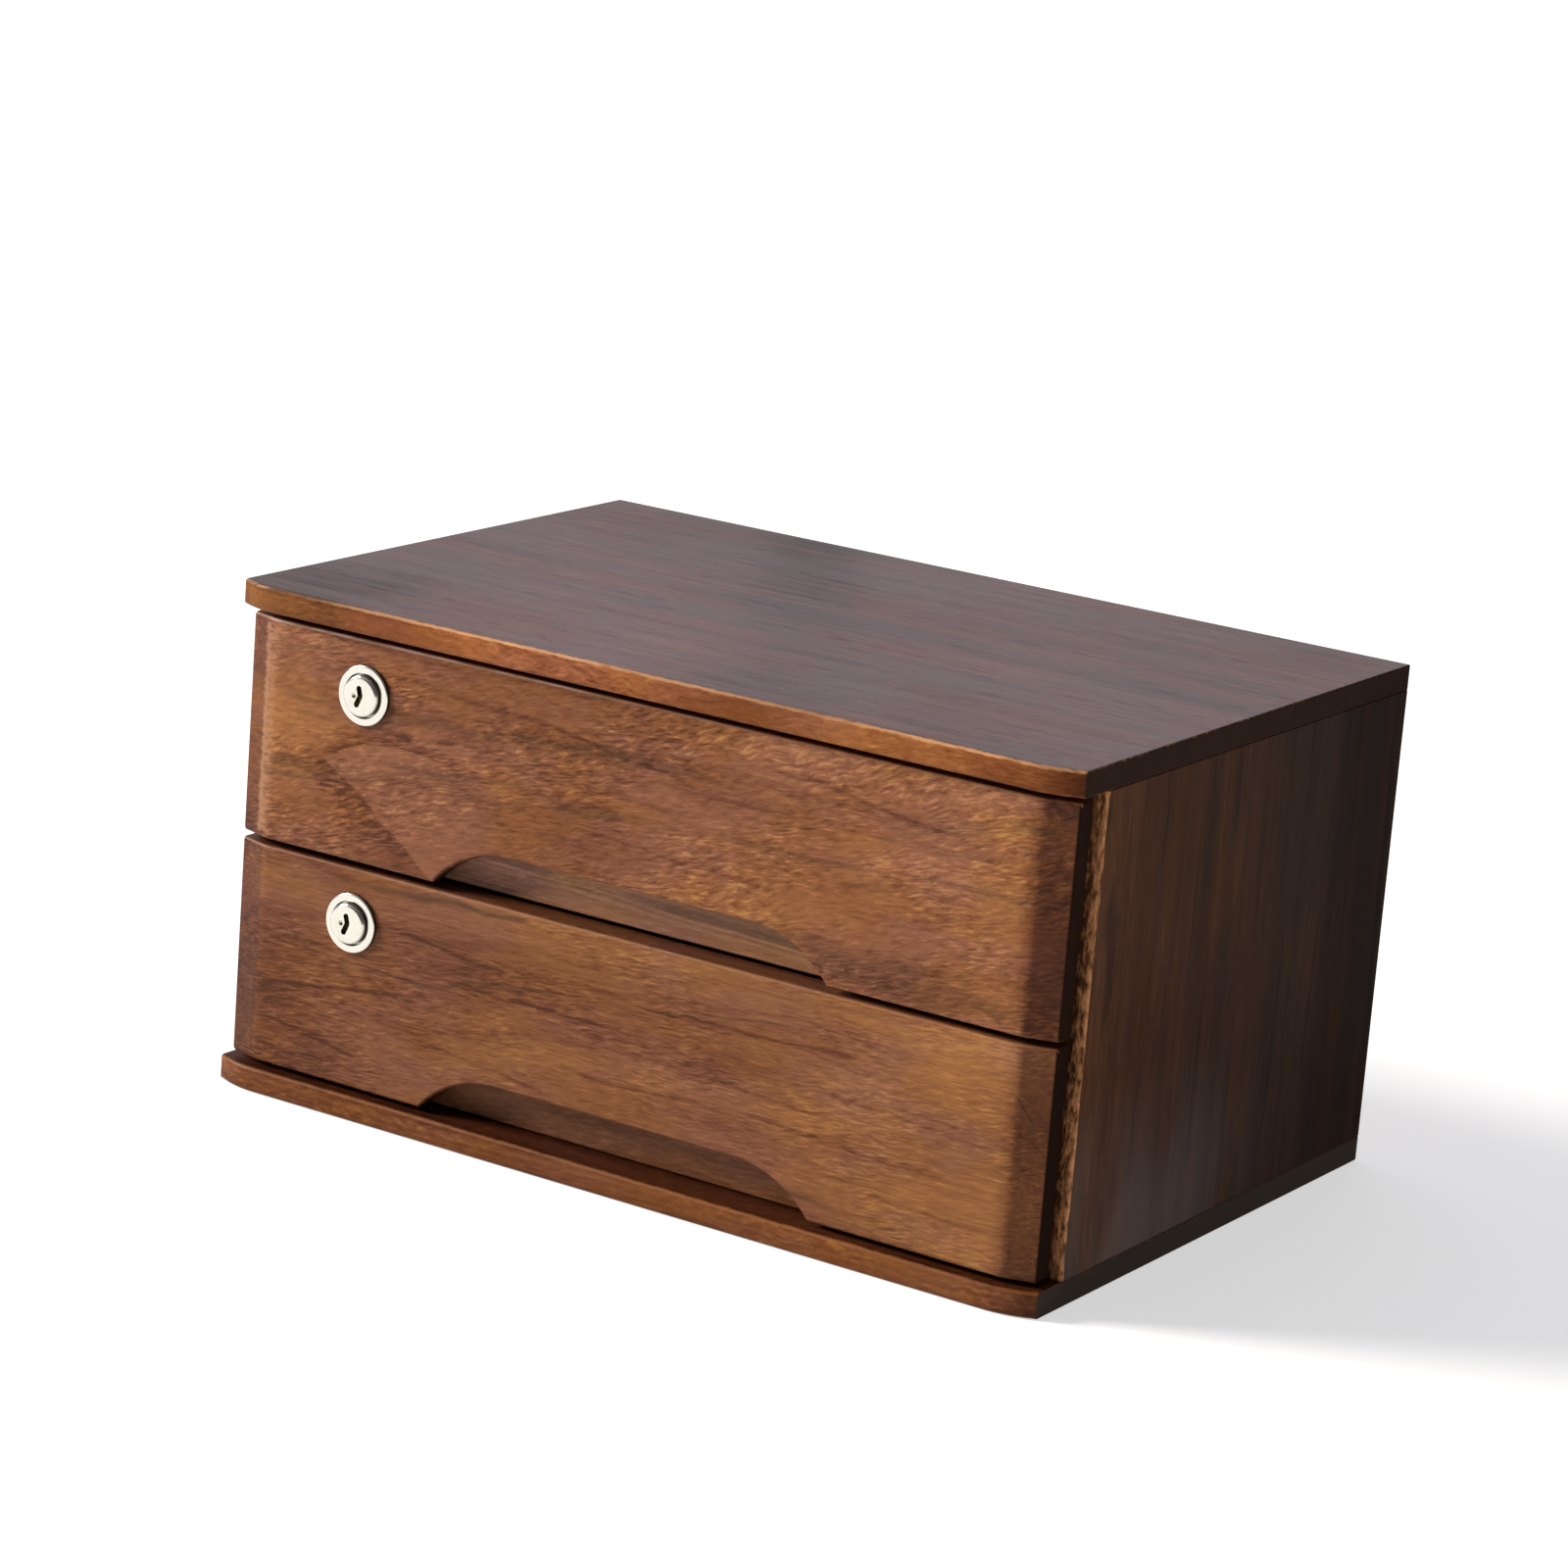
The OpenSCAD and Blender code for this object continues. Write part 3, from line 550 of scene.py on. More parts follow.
def metal(name, tone, rough, tarnish):
    """Plated or bare metal, with fine scratches, a faint tarnish, and dirt and painted shade in
    its corners.
    """
    g = Graph(name)
    place = g.millimetres(g.node("ShaderNodeTexCoord"))
    cloud = g.noise(place, (4, 4, 4), detail=3.0, rough=0.6)
    marks = g.noise(place, (3, 0.25, 0.25), rough=0.7, warp=0.6)
    colour = g.mix(g.step(cloud, 0.5, 0.8, 0.0, tarnish), linear(*tone), tint(tone, 0.55))
    # The attribute darkens corners and rims: dirt and painted shade
    grime_and_shade = g.node("ShaderNodeAttribute", attribute_name="wear_and_painted_light").outputs["Fac"]
    grime_and_shade = g.line(g.math("SUBTRACT", cloud, 0.5), 0.3, grime_and_shade)
    grime_and_shade = g.step(grime_and_shade, 0.30, 0.75)
    colour = g.mix(grime_and_shade, colour, linear(*GRIME_AND_SHADE))
    roughness = g.step(g.sum([(cloud, 0.8), (marks, 0.6)]), 0.25, 0.8, *rough)
    roughness = g.line(grime_and_shade, 0.3, roughness)
    normal = g.bump(marks, 0.1, 0.03 * MM)
    return g.finish(Base_Color=colour, Metallic=g.step(grime_and_shade, 0, 1, 1.0, 0.5),
                    Roughness=roughness, Normal=normal)


def felt_cloth(name):
    g = Graph(name)
    place = g.millimetres(g.node("ShaderNodeTexCoord"))
    fuzz = g.noise(place, (0.35, 0.35, 0.35), detail=4.0, rough=0.7, warp=1.2)
    colour = g.ramp(fuzz, [(0.3, linear(34, 30, 28)), (0.7, linear(74, 68, 64))])
    return g.finish(Base_Color=colour, Roughness=0.95, Normal=g.bump(fuzz, 0.8, 0.0003),
                    Sheen_Weight=0.4)


def floor_paint(name):
    g = Graph(name)
    coords = g.node("ShaderNodeTexCoord")
    tone = g.noise(coords.outputs["Object"], (0.9, 0.9, 0.9), detail=3.0)
    colour = g.ramp(tone, [(0.3, (0.54, 0.54, 0.54)), (0.7, (0.57, 0.57, 0.567))])
    return g.finish(Base_Color=colour, Roughness=0.8, Specular_IOR_Level=0.1,
                    Emission_Color=(1, 1, 1, 1), Emission_Strength=0.56)


# ---------------- mesh building

RIM = 0.9 * MM               # a strip beside each round that keeps the face flat
SHARP = math.radians(38)     # edges that turn more than this stay crisp
ARRIS_STEPS, CORNER_STEPS = 4, 5


def finish_piece(name, bm, material, cutters=()):
    """Turns a bmesh into an object with smooth rounds, flat faces and crisp corners."""
    bmesh.ops.recalc_face_normals(bm, faces=bm.faces)
    piece = add_mesh(name, bm)
    for cutter in cutters:
        cut = piece.modifiers.new("cut", "BOOLEAN")
        cut.operation, cut.solver, cut.object = "DIFFERENCE", "EXACT", cutter
        bpy.context.view_layer.update()
        depsgraph = bpy.context.evaluated_depsgraph_get()
        cut_mesh = bpy.data.meshes.new_from_object(piece.evaluated_get(depsgraph))
        piece.modifiers.clear()
        piece.data = cut_mesh
        bpy.data.objects.remove(cutter)
    piece.data.name = name
    piece.data.materials.clear()
    piece.data.materials.append(material)
    piece.data.shade_smooth()
    piece.data.set_sharp_from_angle(angle=SHARP)
    even = piece.modifiers.new("even_normals", "WEIGHTED_NORMAL")
    even.keep_sharp = True
    return piece


def skin(bm, rings, capped=True):
    """Joins rings of equally many vertices with quads, and caps the two ends."""
    count = len(rings[0])
    for low, high in zip(rings, rings[1:]):
        for i in range(count):
            j = (i + 1) % count
            bm.faces.new((low[i], low[j], high[j], high[i]))
    if capped:
        bm.faces.new(rings[0])
        bm.faces.new(rings[-1])


def inset(outline, amounts):
    """Moves each edge of a closed anticlockwise outline inwards by its own amount."""
    lines = []
    for start, end, amount in zip(outline, outline[1:] + outline[:1], amounts):
        run = (end - start).normalized()
        lines.append((start + Vector((-run.y, run.x)) * amount, run))
    moved = []
    for (p, d), (q, e) in zip(lines[-1:] + lines[:-1], lines):
        cross = d.x * e.y - d.y * e.x
        if abs(cross) < 1e-6:
            moved.append(q)
            continue
        moved.append(p + d * (((q.x - p.x) * e.y - (q.y - p.y) * e.x) / cross))
    return moved


def rounded(outline, radii):
    """Rounds the corners that have a radius, each with the same number of points."""
    points = []
    for i, corner in enumerate(outline):
        if radii[i] is None:
            points.append(corner)
            continue
        back = (outline[i - 1] - corner).normalized()
        ahead = (outline[(i + 1) % len(outline)] - corner).normalized()
        half = back.angle(ahead) / 2
        radius = max(radii[i], 0.01 * MM)
        centre = corner + (back + ahead).normalized() * (radius / math.sin(half))
        first = corner + back * (radius / math.tan(half)) - centre
        last = corner + ahead * (radius / math.tan(half)) - centre
        turn = first.angle_signed(last)
        for k in range(CORNER_STEPS + 1):
            spin = Matrix.Rotation(-turn * k / CORNER_STEPS, 2)
            points.append(centre + spin @ first)
    return points


def slab(name, outline, radii, scales, z0, z1, ease, material, wear_and_painted_light=(1.0, 1.0), rows=()):
    """A board: a flat outline made thick from z0 to z1, with its arrises eased.

    radii rounds the outline's upright corners, and scales makes the ease along each of its
    edges smaller. wear is how worn the lower and the upper arris are. rows are (z, radii)
    between the two, for upright corners that are worn unevenly.
    """
    rings = [(ease + RIM, 0.0, 0.0)]
    for k in range(ARRIS_STEPS + 1):
        turn = math.pi / 2 * k / ARRIS_STEPS
        rings.append((ease * (1 - math.sin(turn)), ease * (1 - math.cos(turn)),
                      math.sin(2 * turn)))
    rings.append((0.0, ease + RIM, 0.0))
    upper = [(away, up, worn * wear_and_painted_light[1]) for away, up, worn in reversed(rings)]
    bm = bmesh.new()
    layer = bm.verts.layers.float.new("wear_and_painted_light")
    shares = []
    for i, radius in enumerate(radii):
        shares += [(scales[i - 1] + scales[i]) / 2] * (1 if radius is None else CORNER_STEPS + 1)

    def add_ring(away, heights, worn, corner_radii):
        points = inset(outline, [away * s for s in scales])
        corner = [None if r is None else max(r - away * min(scales[i - 1], scales[i]), 0)
                  for i, r in enumerate(corner_radii)]
        ring = []
        for point, z, share in zip(rounded(points, corner), heights, shares):
            vertex = bm.verts.new((point.x, point.y, z))
            vertex[layer] = worn * share
            ring.append(vertex)
        return ring

    made = [add_ring(away, [z0 + up * s for s in shares], worn * wear_and_painted_light[0], radii)
            for away, up, worn in rings]
    made += [add_ring(0.0, [z] * len(shares), 0.0, row) for z, row in rows]
    made += [add_ring(away, [z1 - up * s for s in shares], worn, radii)
             for away, up, worn in upper]
    skin(bm, made)
    return finish_piece(name, bm, material)


def lathe(name, profile, at, material, steps=96, cutters=()):
    """Turns a profile of (radius, y, grime) about the Y axis through at."""
    bm = bmesh.new()
    layer = bm.verts.layers.float.new("wear_and_painted_light")
    rings = []
    for radius, y, grime_and_shade in profile:
        ring = []
        for k in range(steps):
            turn = 2 * math.pi * k / steps
            vertex = bm.verts.new((at.x + radius * math.cos(turn), at.y + y,
                                   at.z + radius * math.sin(turn)))
            vertex[layer] = grime_and_shade
            ring.append(vertex)
        rings.append(ring)
    hollow = profile[0][0] > 0.2 * MM
    skin(bm, rings + rings[:1] if hollow else rings, capped=not hollow)
    return finish_piece(name, bm, material, cutters=cutters)


def prism(name, points, y0, y1):
    """A cutter: an outline in X and Z, made thick along Y."""
    bm = bmesh.new()
    rings = [[bm.verts.new((x, y, z)) for x, z in points] for y in (y0, y1)]
    skin(bm, rings)
    bmesh.ops.recalc_face_normals(bm, faces=bm.faces)
    return add_mesh(name, bm)


def circle(x, z, radius, steps=64):
    return [(x + radius * math.cos(2 * math.pi * k / steps),
             z + radius * math.sin(2 * math.pi * k / steps)) for k in range(steps)]


def place_piece(piece, body, slot, *nodes):
    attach(piece, body)
    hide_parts(*nodes)


# ---------------- carcass

CORNER_R, CORNER_RUN = 36 * MM, 18 * MM      # the boards' front corners, and their run in X
BOARD_EASE, PANEL_EASE = 1.5 * MM, 0.25 * MM
RABBET = 5 * MM                              # in the side panels, for the back panel
WORN_RUN, WORN_ROWS = 1.9 * MM, 64           # how far the panels' front edges are worn back
WORN_R = (0.6, 0.9)                          # that edge's uneven radius, in millimetres
OUTER_WEAR, INNER_WEAR = 0.66, 0.2


def bowed_outline(low, high, radius, run, steps=14):
    """A board's plan, anticlockwise from its back left, curved at both front ends."""
    reach = math.asin(run / radius)
    left = [Vector((low.x + run - radius * math.sin(reach * (1 - k / steps)),
                    low.y + radius * (1 - math.cos(reach * (1 - k / steps)))))
            for k in range(steps + 1)]
    right = [Vector((low.x + high.x - p.x, p.y)) for p in reversed(left)]
    return [Vector((low.x, high.y))] + left + right + [Vector((high.x, high.y))]


def board(name, material):
    """The bottom or the top board, eased most along its front."""
    low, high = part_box(name)
    outline = bowed_outline(low, high, CORNER_R, CORNER_RUN)
    radii = [None] * len(outline)
    radii[0] = radii[-1] = 0.6 * MM
    radii[1] = radii[-2] = 0.8 * MM
    scales = [1.0] * len(outline)
    scales[0] = scales[-2] = scales[-1] = 0.3
    piece = slab(name + "_wood", outline, radii, scales, low.z, high.z, BOARD_EASE, material,
                 wear_and_painted_light=(0.4, 1.0))
    place_piece(piece, "carcass", "board_wood", name)


def side_panel(side, material):
    """A side panel, whose outer front edge is worn pale and a little uneven."""
    node = side + "_side_panel"
    low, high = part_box(node)
    edge_y = low.y + WORN_RUN
    points = [Vector((low.x, low.y)), Vector((high.x, low.y)), Vector((high.x, edge_y)),
              Vector((high.x, high.y)), Vector((low.x + RABBET, high.y)),
              Vector((low.x + RABBET, high.y - RABBET)), Vector((low.x, high.y - RABBET)),
              Vector((low.x, edge_y))]
    radii = [0.6 * MM, 1.2 * MM, None, 0.5 * MM, 0.3 * MM, None, 0.3 * MM, None]
    worn_corner = 1
    if side == "left":
        points = [Vector((low.x + high.x - p.x, p.y)) for p in reversed(points)]
        radii = radii[::-1]
        worn_corner = 6
    rows = []
    for k in range(1, WORN_ROWS):
        worn = list(radii)
        worn[worn_corner] = rng.uniform(*WORN_R) * rng.choice((1.0, 1.0, 1.0, 1.4)) * MM
        rows.append((low.z + (high.z - low.z) * k / WORN_ROWS, worn))
    piece = slab(node + "_wood", points, radii, [1.0] * len(points), low.z, high.z, PANEL_EASE,
                 material, wear_and_painted_light=(0.0, 0.0), rows=rows)
    middle = (low.x + high.x) / 2
    for vertex, mark in zip(piece.data.vertices, piece.data.attributes["wear_and_painted_light"].data):
        if vertex.co.y < edge_y - 0.1 * MM:
            outer = abs(vertex.co.x) > abs(middle)
            mark.value = OUTER_WEAR if outer else INNER_WEAR
    place_piece(piece, "carcass", "side_wood", node)


# ---------------- drawer fronts

# The facet at each end of a front, and the bend that leads into it
FACET_RUN, FACET_ANGLE, BEND_R, BEND_STEPS = 15.3 * MM, math.radians(18), 20 * MM, 10
LIP, LIP_STEPS = 1.2 * MM, 6                 # the round at the facet's outer end
# The finger scoop: its height, the half-width of its flat part, and its ends' radius
SCOOP_H, SCOOP_FLAT, SCOOP_R = 14.7 * MM, 48 * MM, 41 * MM
GROOVE_D, GROOVE_RISE = 5.5 * MM, 7 * MM     # the undercut behind the scoop
FLAT_XS = (0, 24, 98, 112, 128, 145)         # sections between the curves, in millimetres
FRONT_EASE, FRONT_STEPS = 1.3 * MM, 5
MERGED, COLLAPSED = 0.004 * MM, 0.002 * MM   # vertices and edges this small are joined
LOCK_HOLE_R = 8.25 * MM
END_DROP = 0.9 * MM                          # how far the arrises drop at the very end
# Reach of the worn band at the left bend, which is also a painted highlight
BEND_MARK_RUN = 8 * MM                          # how far the wear reaches from the left bend
# How worn the arrises are, and where the upper one's painted highlight starts, over what
# length it grows to full strength, and over what length it fades at the left end
UPPER_WEAR, LOWER_WEAR = 0.9, 0.5
SHINY_FROM, SHINY_RUN, SHINY_END = 90 * MM, 180 * MM, 14 * MM


def scoop_top(x, height):
    """Height of a finger scoop's edge above the front's lower edge at x, or 0 beyond it."""
    beyond = abs(x) - SCOOP_FLAT
    if beyond <= 0:
        return height
    if beyond >= SCOOP_R:
        return 0.0
    return max(0.0, height - SCOOP_R + math.sqrt(SCOOP_R ** 2 - beyond ** 2))


def scoop_xs(height, steps=22):
    sweep = math.acos(1 - height / SCOOP_R)
    return [SCOOP_FLAT + SCOOP_R * math.sin(sweep * k / steps) for k in range(steps + 1)]


def front_stations(half):
    """From the middle to the right end: (x, set-back of the face, drop of the arrises)."""
    xs = scoop_xs(SCOOP_H) + scoop_xs(SCOOP_H + GROOVE_RISE) + [x * MM for x in FLAT_XS]
    stations = [(x, 0.0, 0.0) for x in sorted(set(round(x, 7) for x in xs))]
    for k in range(BEND_STEPS + 1):
        turn = FACET_ANGLE * k / BEND_STEPS
        stations.append((half - FACET_RUN + BEND_R * math.sin(turn),
                         BEND_R * (1 - math.cos(turn)), 0.0))
    bent_x, bent_back = stations[-1][0], stations[-1][1]
    slope = math.tan(FACET_ANGLE)
    lip_x = half - LIP + LIP * math.sin(FACET_ANGLE)
    for share in (0.35, 0.7, 1.0):
        x = bent_x + (lip_x - bent_x) * share
        stations.append((x, bent_back + (x - bent_x) * slope, 0.0))
    centre_back = stations[-1][1] + LIP * math.cos(FACET_ANGLE)
    for k in range(1, LIP_STEPS + 1):
        turn = FACET_ANGLE + (math.pi / 2 - FACET_ANGLE) * k / LIP_STEPS
        reach = (math.sin(turn) - math.sin(FACET_ANGLE)) / (1 - math.sin(FACET_ANGLE))
        drop = END_DROP * (1 - math.sqrt(max(0.0, 1 - reach ** 2)))
        stations.append((half - LIP + LIP * math.sin(turn),
                         centre_back - LIP * math.cos(turn), drop))
    return stations


def drawer_front(level, material, bend_wear_and_highlight, painted_highlight):
    """A drawer front. bend_wear_and_highlight is how worn it is along the bend at its left end,
    which is also a painted highlight there, and painted_highlight is how much painted
    highlight its upper arris gets towards the left, beyond being worn."""
    node = level + "_drawer_front"
    low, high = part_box(node)
    half = high.x
    right = front_stations(half)
    facet = half - FACET_RUN + BEND_R * math.sin(FACET_ANGLE)
    stations = []
    for x, set_back, drop in reversed(right[1:]):
        # worn: the worn band at the left bend, also a painted highlight
        worn = bend_wear_and_highlight * max(0.0, 1 - abs(x - facet) / BEND_MARK_RUN) if x < facet + 0.5 * MM else 0.0
        stations.append((-x, set_back, drop, worn))
    stations += [(x, set_back, drop, 0.0) for x, set_back, drop in right]
    bm = bmesh.new()
    layer = bm.verts.layers.float.new("wear_and_painted_light")
    sections = []
    for x, set_back, drop, worn in stations:
        face, back = low.y + set_back, high.y - drop * 0.5
        top = high.z - drop
        bottom = low.z + max(scoop_top(x, SCOOP_H), drop)
        groove = max(low.z + scoop_top(x, SCOOP_H + GROOVE_RISE), bottom)
        inner = back - GROOVE_D
        # Painted highlight on the upper arris: it grows towards the left and fades at the very
        # end
        glint = min(1.0, max(0.0, (SHINY_FROM - x) / SHINY_RUN), (x + half) / SHINY_END)
        upper_wear_and_highlight = UPPER_WEAR + painted_highlight * glint
        section = [(face, top - FRONT_EASE - RIM, worn)]
        for k in range(FRONT_STEPS + 1):
            turn = math.pi / 2 * k / FRONT_STEPS
            section.append((face + FRONT_EASE * (1 - math.cos(turn)),
                            top - FRONT_EASE * (1 - math.sin(turn)),
                            upper_wear_and_highlight * math.sin(2 * turn)))
        section.append((face + FRONT_EASE + RIM, top, worn))
        section += [(back - 0.4 * MM, top, worn), (back - 0.1 * MM, top - 0.1 * MM, worn),
                    (back, top - 0.4 * MM, worn), (back, groove, worn),
                    (inner, groove, worn), (inner, bottom, worn)]
        section.append((min(face + FRONT_EASE + RIM, inner - 0.05 * MM), bottom, worn))
        for k in range(FRONT_STEPS + 1):
            turn = math.pi / 2 * k / FRONT_STEPS
            section.append((face + FRONT_EASE * (1 - math.sin(turn)),
                            bottom + FRONT_EASE * (1 - math.cos(turn)),
                            LOWER_WEAR * math.sin(2 * turn)))
        section.append((face, bottom + FRONT_EASE + RIM, worn))
        ring = []
        at_end = abs(x) > half - 0.01 * MM
        for y, z, mark in section:
            vertex = bm.verts.new((x, y, z))
            vertex[layer] = 0.0 if at_end else mark
            ring.append(vertex)
        sections.append(ring)
    skin(bm, sections)
    bmesh.ops.remove_doubles(bm, verts=bm.verts, dist=MERGED)
    bmesh.ops.dissolve_degenerate(bm, edges=bm.edges, dist=COLLAPSED)
    at = lock_axis(level)
    cutter = prism("hole", circle(at.x, at.z, LOCK_HOLE_R), low.y - MM, high.y + MM)
    piece = finish_piece(node + "_wood", bm, material, cutters=[cutter])
    place_piece(piece, level + "_drawer", "front_wood", node)


# ---------------- locks

CORE_R = 0.05 * MM                           # where a solid lathed piece starts
BORE_R = 7.75 * MM                           # the bezel's
HEAD_R, HEAD_FLAT = 7.1 * MM, 5.3 * MM       # the plug's head, and the flat on its face
SHAFT_R, SHAFT_END = 6.2 * MM, 21 * MM
KEYWAY_HALF, KEYWAY_END = 1.05, 16.5 * MM    # half the slot's width in millimetres, its end
DIMPLE_X, DIMPLE_R, DIMPLE_DEEP = 2.3 * MM, 0.9 * MM, 1.0 * MM
WAFERS, WAFER_PITCH = 5, 3 * MM
GAP_WIDE, GAP_TALL, GAP_HALF = 3.5 * MM, 6.3 * MM, 0.5 * MM      # the slots for the wafers
CRANK_R, PIN_R = 4.3 * MM, 1.5 * MM          # the crank pin: off the axis, and its radius


def quarter(radius, y, size, grime_and_shade=0.0, steps=6):
    """Points of the small outward round that ends a flat face: from the face to the rim."""
    return [(radius - size + size * math.sin(math.pi / 2 * k / steps),
             y + size * (1 - math.cos(math.pi / 2 * k / steps)), grime_and_shade * k / steps)
            for k in range(steps + 1)]


def lock_axis(level):
    """Where a lock's axis meets the drawer front's face."""
    low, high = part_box(level + "_lock_bezel")
    return Vector(((low.x + high.x) / 2, high.y, (low.z + high.z) / 2))


def lock_bezel(level, material):
    """The ring around the lock's head, with dirt and painted shade in its corners."""
    node = level + "_lock_bezel"
    low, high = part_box(node)
    outer, thick = (high.x - low.x) / 2, high.y - low.y
    # The third value of each point is dirt and painted shade
    profile = [(BORE_R, 0.0, 1.0), (BORE_R, -thick + 0.35 * MM, 1.0),
               (BORE_R + 0.1 * MM, -thick + 0.1 * MM, 0.7), (BORE_R + 0.35 * MM, -thick, 0.0),
               (outer - 1.2 * MM, -thick, 0.0)]
    profile += quarter(outer, -thick, 0.6 * MM, 0.8)
    profile += [(outer, -thick + 0.75 * MM, 0.9), (outer, -0.15 * MM, 1.0),
                (outer - 0.15 * MM, 0.0, 1.0)]
    piece = lathe(level + "_bezel_ring", profile, lock_axis(level), material)
    place_piece(piece, level + "_drawer", "nickel", node)


def keyway_outline(at):
    """The kinked slot that takes the key, as an outline in X and Z."""
    spine = [(-1.15, -3.3), (-0.25, -1.3), (0.35, 0.1), (0.35, 0.6), (0.0, 1.9), (-0.35, 3.2)]
    left, right = [], []
    for i, (x, z) in enumerate(spine):
        before, after = spine[max(i - 1, 0)], spine[min(i + 1, len(spine) - 1)]
        run = Vector((after[0] - before[0], after[1] - before[1])).normalized()
        right.append((x + run.y * KEYWAY_HALF, z - run.x * KEYWAY_HALF))
        left.append((x - run.y * KEYWAY_HALF, z + run.x * KEYWAY_HALF))
    foot = [(-1.65, -3.85), (-1.15, -3.9)]
    tip = [(-0.1, 3.75), (-0.75, 3.7)]
    return [(at.x + x * MM, at.z + z * MM) for x, z in foot + right + tip + left[::-1]]


def lock_plug(level, material):
    """The turning plug: an eased head with its keyway and dimple, the shaft and the crank."""
    node = level + "_lock_plug"
    low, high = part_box(node)
    at = lock_axis(level)
    front = low.y - at.y
    # The third value of each point is dirt and painted shade
    profile = [(CORE_R, front, 0.0), (HEAD_FLAT, front, 0.0)]
    profile += quarter(HEAD_R, front, 1.0 * MM, 0.35)
    profile += [(HEAD_R, front + 1.3 * MM, 0.35), (HEAD_R, -0.35 * MM, 0.8),
                (HEAD_R - 0.1 * MM, -0.3 * MM, 1.0), (SHAFT_R, -0.3 * MM, 1.0),
                (SHAFT_R, 1.0 * MM, 0.3), (SHAFT_R, SHAFT_END - 0.2 * MM, 0.1),
                (SHAFT_R - 0.2 * MM, SHAFT_END, 0.0), (CORE_R, SHAFT_END, 0.0)]
    dimple = circle(at.x - DIMPLE_X, at.z, DIMPLE_R, 24)
    cutters = [prism("keyway", keyway_outline(at), low.y - MM, at.y + KEYWAY_END),
               prism("dimple", dimple, low.y - MM, low.y + DIMPLE_DEEP)]
    corners = [(at.x + GAP_WIDE * x, at.z + GAP_TALL * z)
               for x, z in ((-1, -1), (1, -1), (1, 1), (-1, 1))]
    for k in range(WAFERS):
        middle = at.y + WAFER_PITCH * (k + 1)
        cutters.append(prism("gap", corners, middle - GAP_HALF, middle + GAP_HALF))
    piece = lathe(level + "_plug_turned", profile, at, material, cutters=cutters)
    place_piece(piece, node, "nickel", node)
    side = CRANK_R / math.sqrt(2)
    root, tip = SHAFT_END - 1 * MM, high.y - at.y
    profile = [(CORE_R, root, 0.0), (PIN_R, root, 0.0), (PIN_R, tip - 0.25 * MM, 0.0),
               (PIN_R - 0.2 * MM, tip, 0.0), (CORE_R, tip, 0.0)]
    crank = lathe(level + "_crank_pin", profile, at + Vector((-side, 0, -side)), material,
                  steps=40)
    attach(crank, node)


# ---------------- CAD nodes that stay

WELD = 0.002 * MM
EASED_ANGLE = math.radians(40)     # edges that turn less than this are left alone


def dress(node, material, ease=0.0):
    """Gives a CAD node its material, and eases its sharp edges by so many millimetres."""
    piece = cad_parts[node]
    piece.data.materials.clear()
    piece.data.materials.append(material)
    if ease:
        weld = piece.modifiers.new("weld", "WELD")
        weld.merge_threshold = WELD
        round_off = piece.modifiers.new("ease", "BEVEL")
        round_off.width = ease * MM
        round_off.segments = 2
        round_off.limit_method = "ANGLE"
        round_off.angle_limit = EASED_ANGLE
        round_off.use_clamp_overlap = True
        even = piece.modifiers.new("even_normals", "WEIGHTED_NORMAL")
        even.keep_sharp = True


# ---------------- the scene

add_camera()
add_sun()
add_studio()
add_floor()

FRONT_GAIN = (0.72, 0.675, 0.60)
TOP_GAIN = (0.76, 0.66, 0.52)
LOWER_GAIN = (0.60, 0.555, 0.48)
BOTTOM_GAIN = (0.44, 0.36, 0.26)
upper_front_wood = wood("upper_front_wood", WARM, FRONT_GAIN, shift=(310, 40, 15),
                        pith=(95, 70), tilt=-0.05, waver=14, band=(13, 0.3),
                        lines=(2.4, 0.2), fleck=(1.5, 14, 5.6, 1.0), fibre=0.25,
                        blotch=0.35, pores=0.12, up_dark=0.4, turned=(0.12, 0.28, 0.8),
                        end_dark=1.0, gloss=0.12, worn_tone=(198, 152, 120),
                        painted_highlight_tone=(226, 204, 204), figure=feather)
lower_front_wood = wood("lower_front_wood", WARM, LOWER_GAIN, shift=(-730, 420, 77),
                        pith=(90, 130), tilt=-0.07, waver=9, band=(11, 0.45),
                        lines=(2.0, 0.35), fleck=(1.15, 7, 6.0, 0.8), fibre=0.6,
                        blotch=0.6, streaks=0.9, pores=0.2, up_dark=0.85,
                        turned=(0.12, 0.28, 0.7), end_dark=1.0, gloss=0.12,
                        worn_tone=(158, 112, 84), figure=darker_left)
top_wood = wood("top_board_wood", WARM, TOP_GAIN, shift=(120, -260, 33), pith=(-30, 150),
                waver=10, band=(16, 0.5), lines=(3.4, 0.5), fleck=(0.9, 4, 5, 1.3),
                blotch=0.8, streaks=0.9, pores=0.35, up_dark=1.0, end_dark=0.92,
                end_tone=(50, 42, 42), turned=(0.05, 0.5, 0.85), worn=0.6,
                worn_tone=(206, 164, 128), rough=(0.33, 0.42), gloss=0.06, up_gloss=0.68,
                marks=0.62, figure=painted_light_at_left, tone_and_sheen=painted_reflection_and_grain, right_only=True)
bottom_wood = wood("bottom_board_wood", WARM, BOTTOM_GAIN, shift=(-420, 95, 64),
                   pith=(40, -90), waver=9, band=(11, 0.5), lines=(2.4, 0.5),
                   fleck=(1.0, 4, 5, 1.3), fibre=0.4, streaks=0.6, pores=0.4, up_dark=0.95,
                   end_dark=0.92, end_tone=(86, 86, 90), turned=(0.05, 0.5, 0.5), worn=0.5,
                   gloss=0.06, right_only=True)
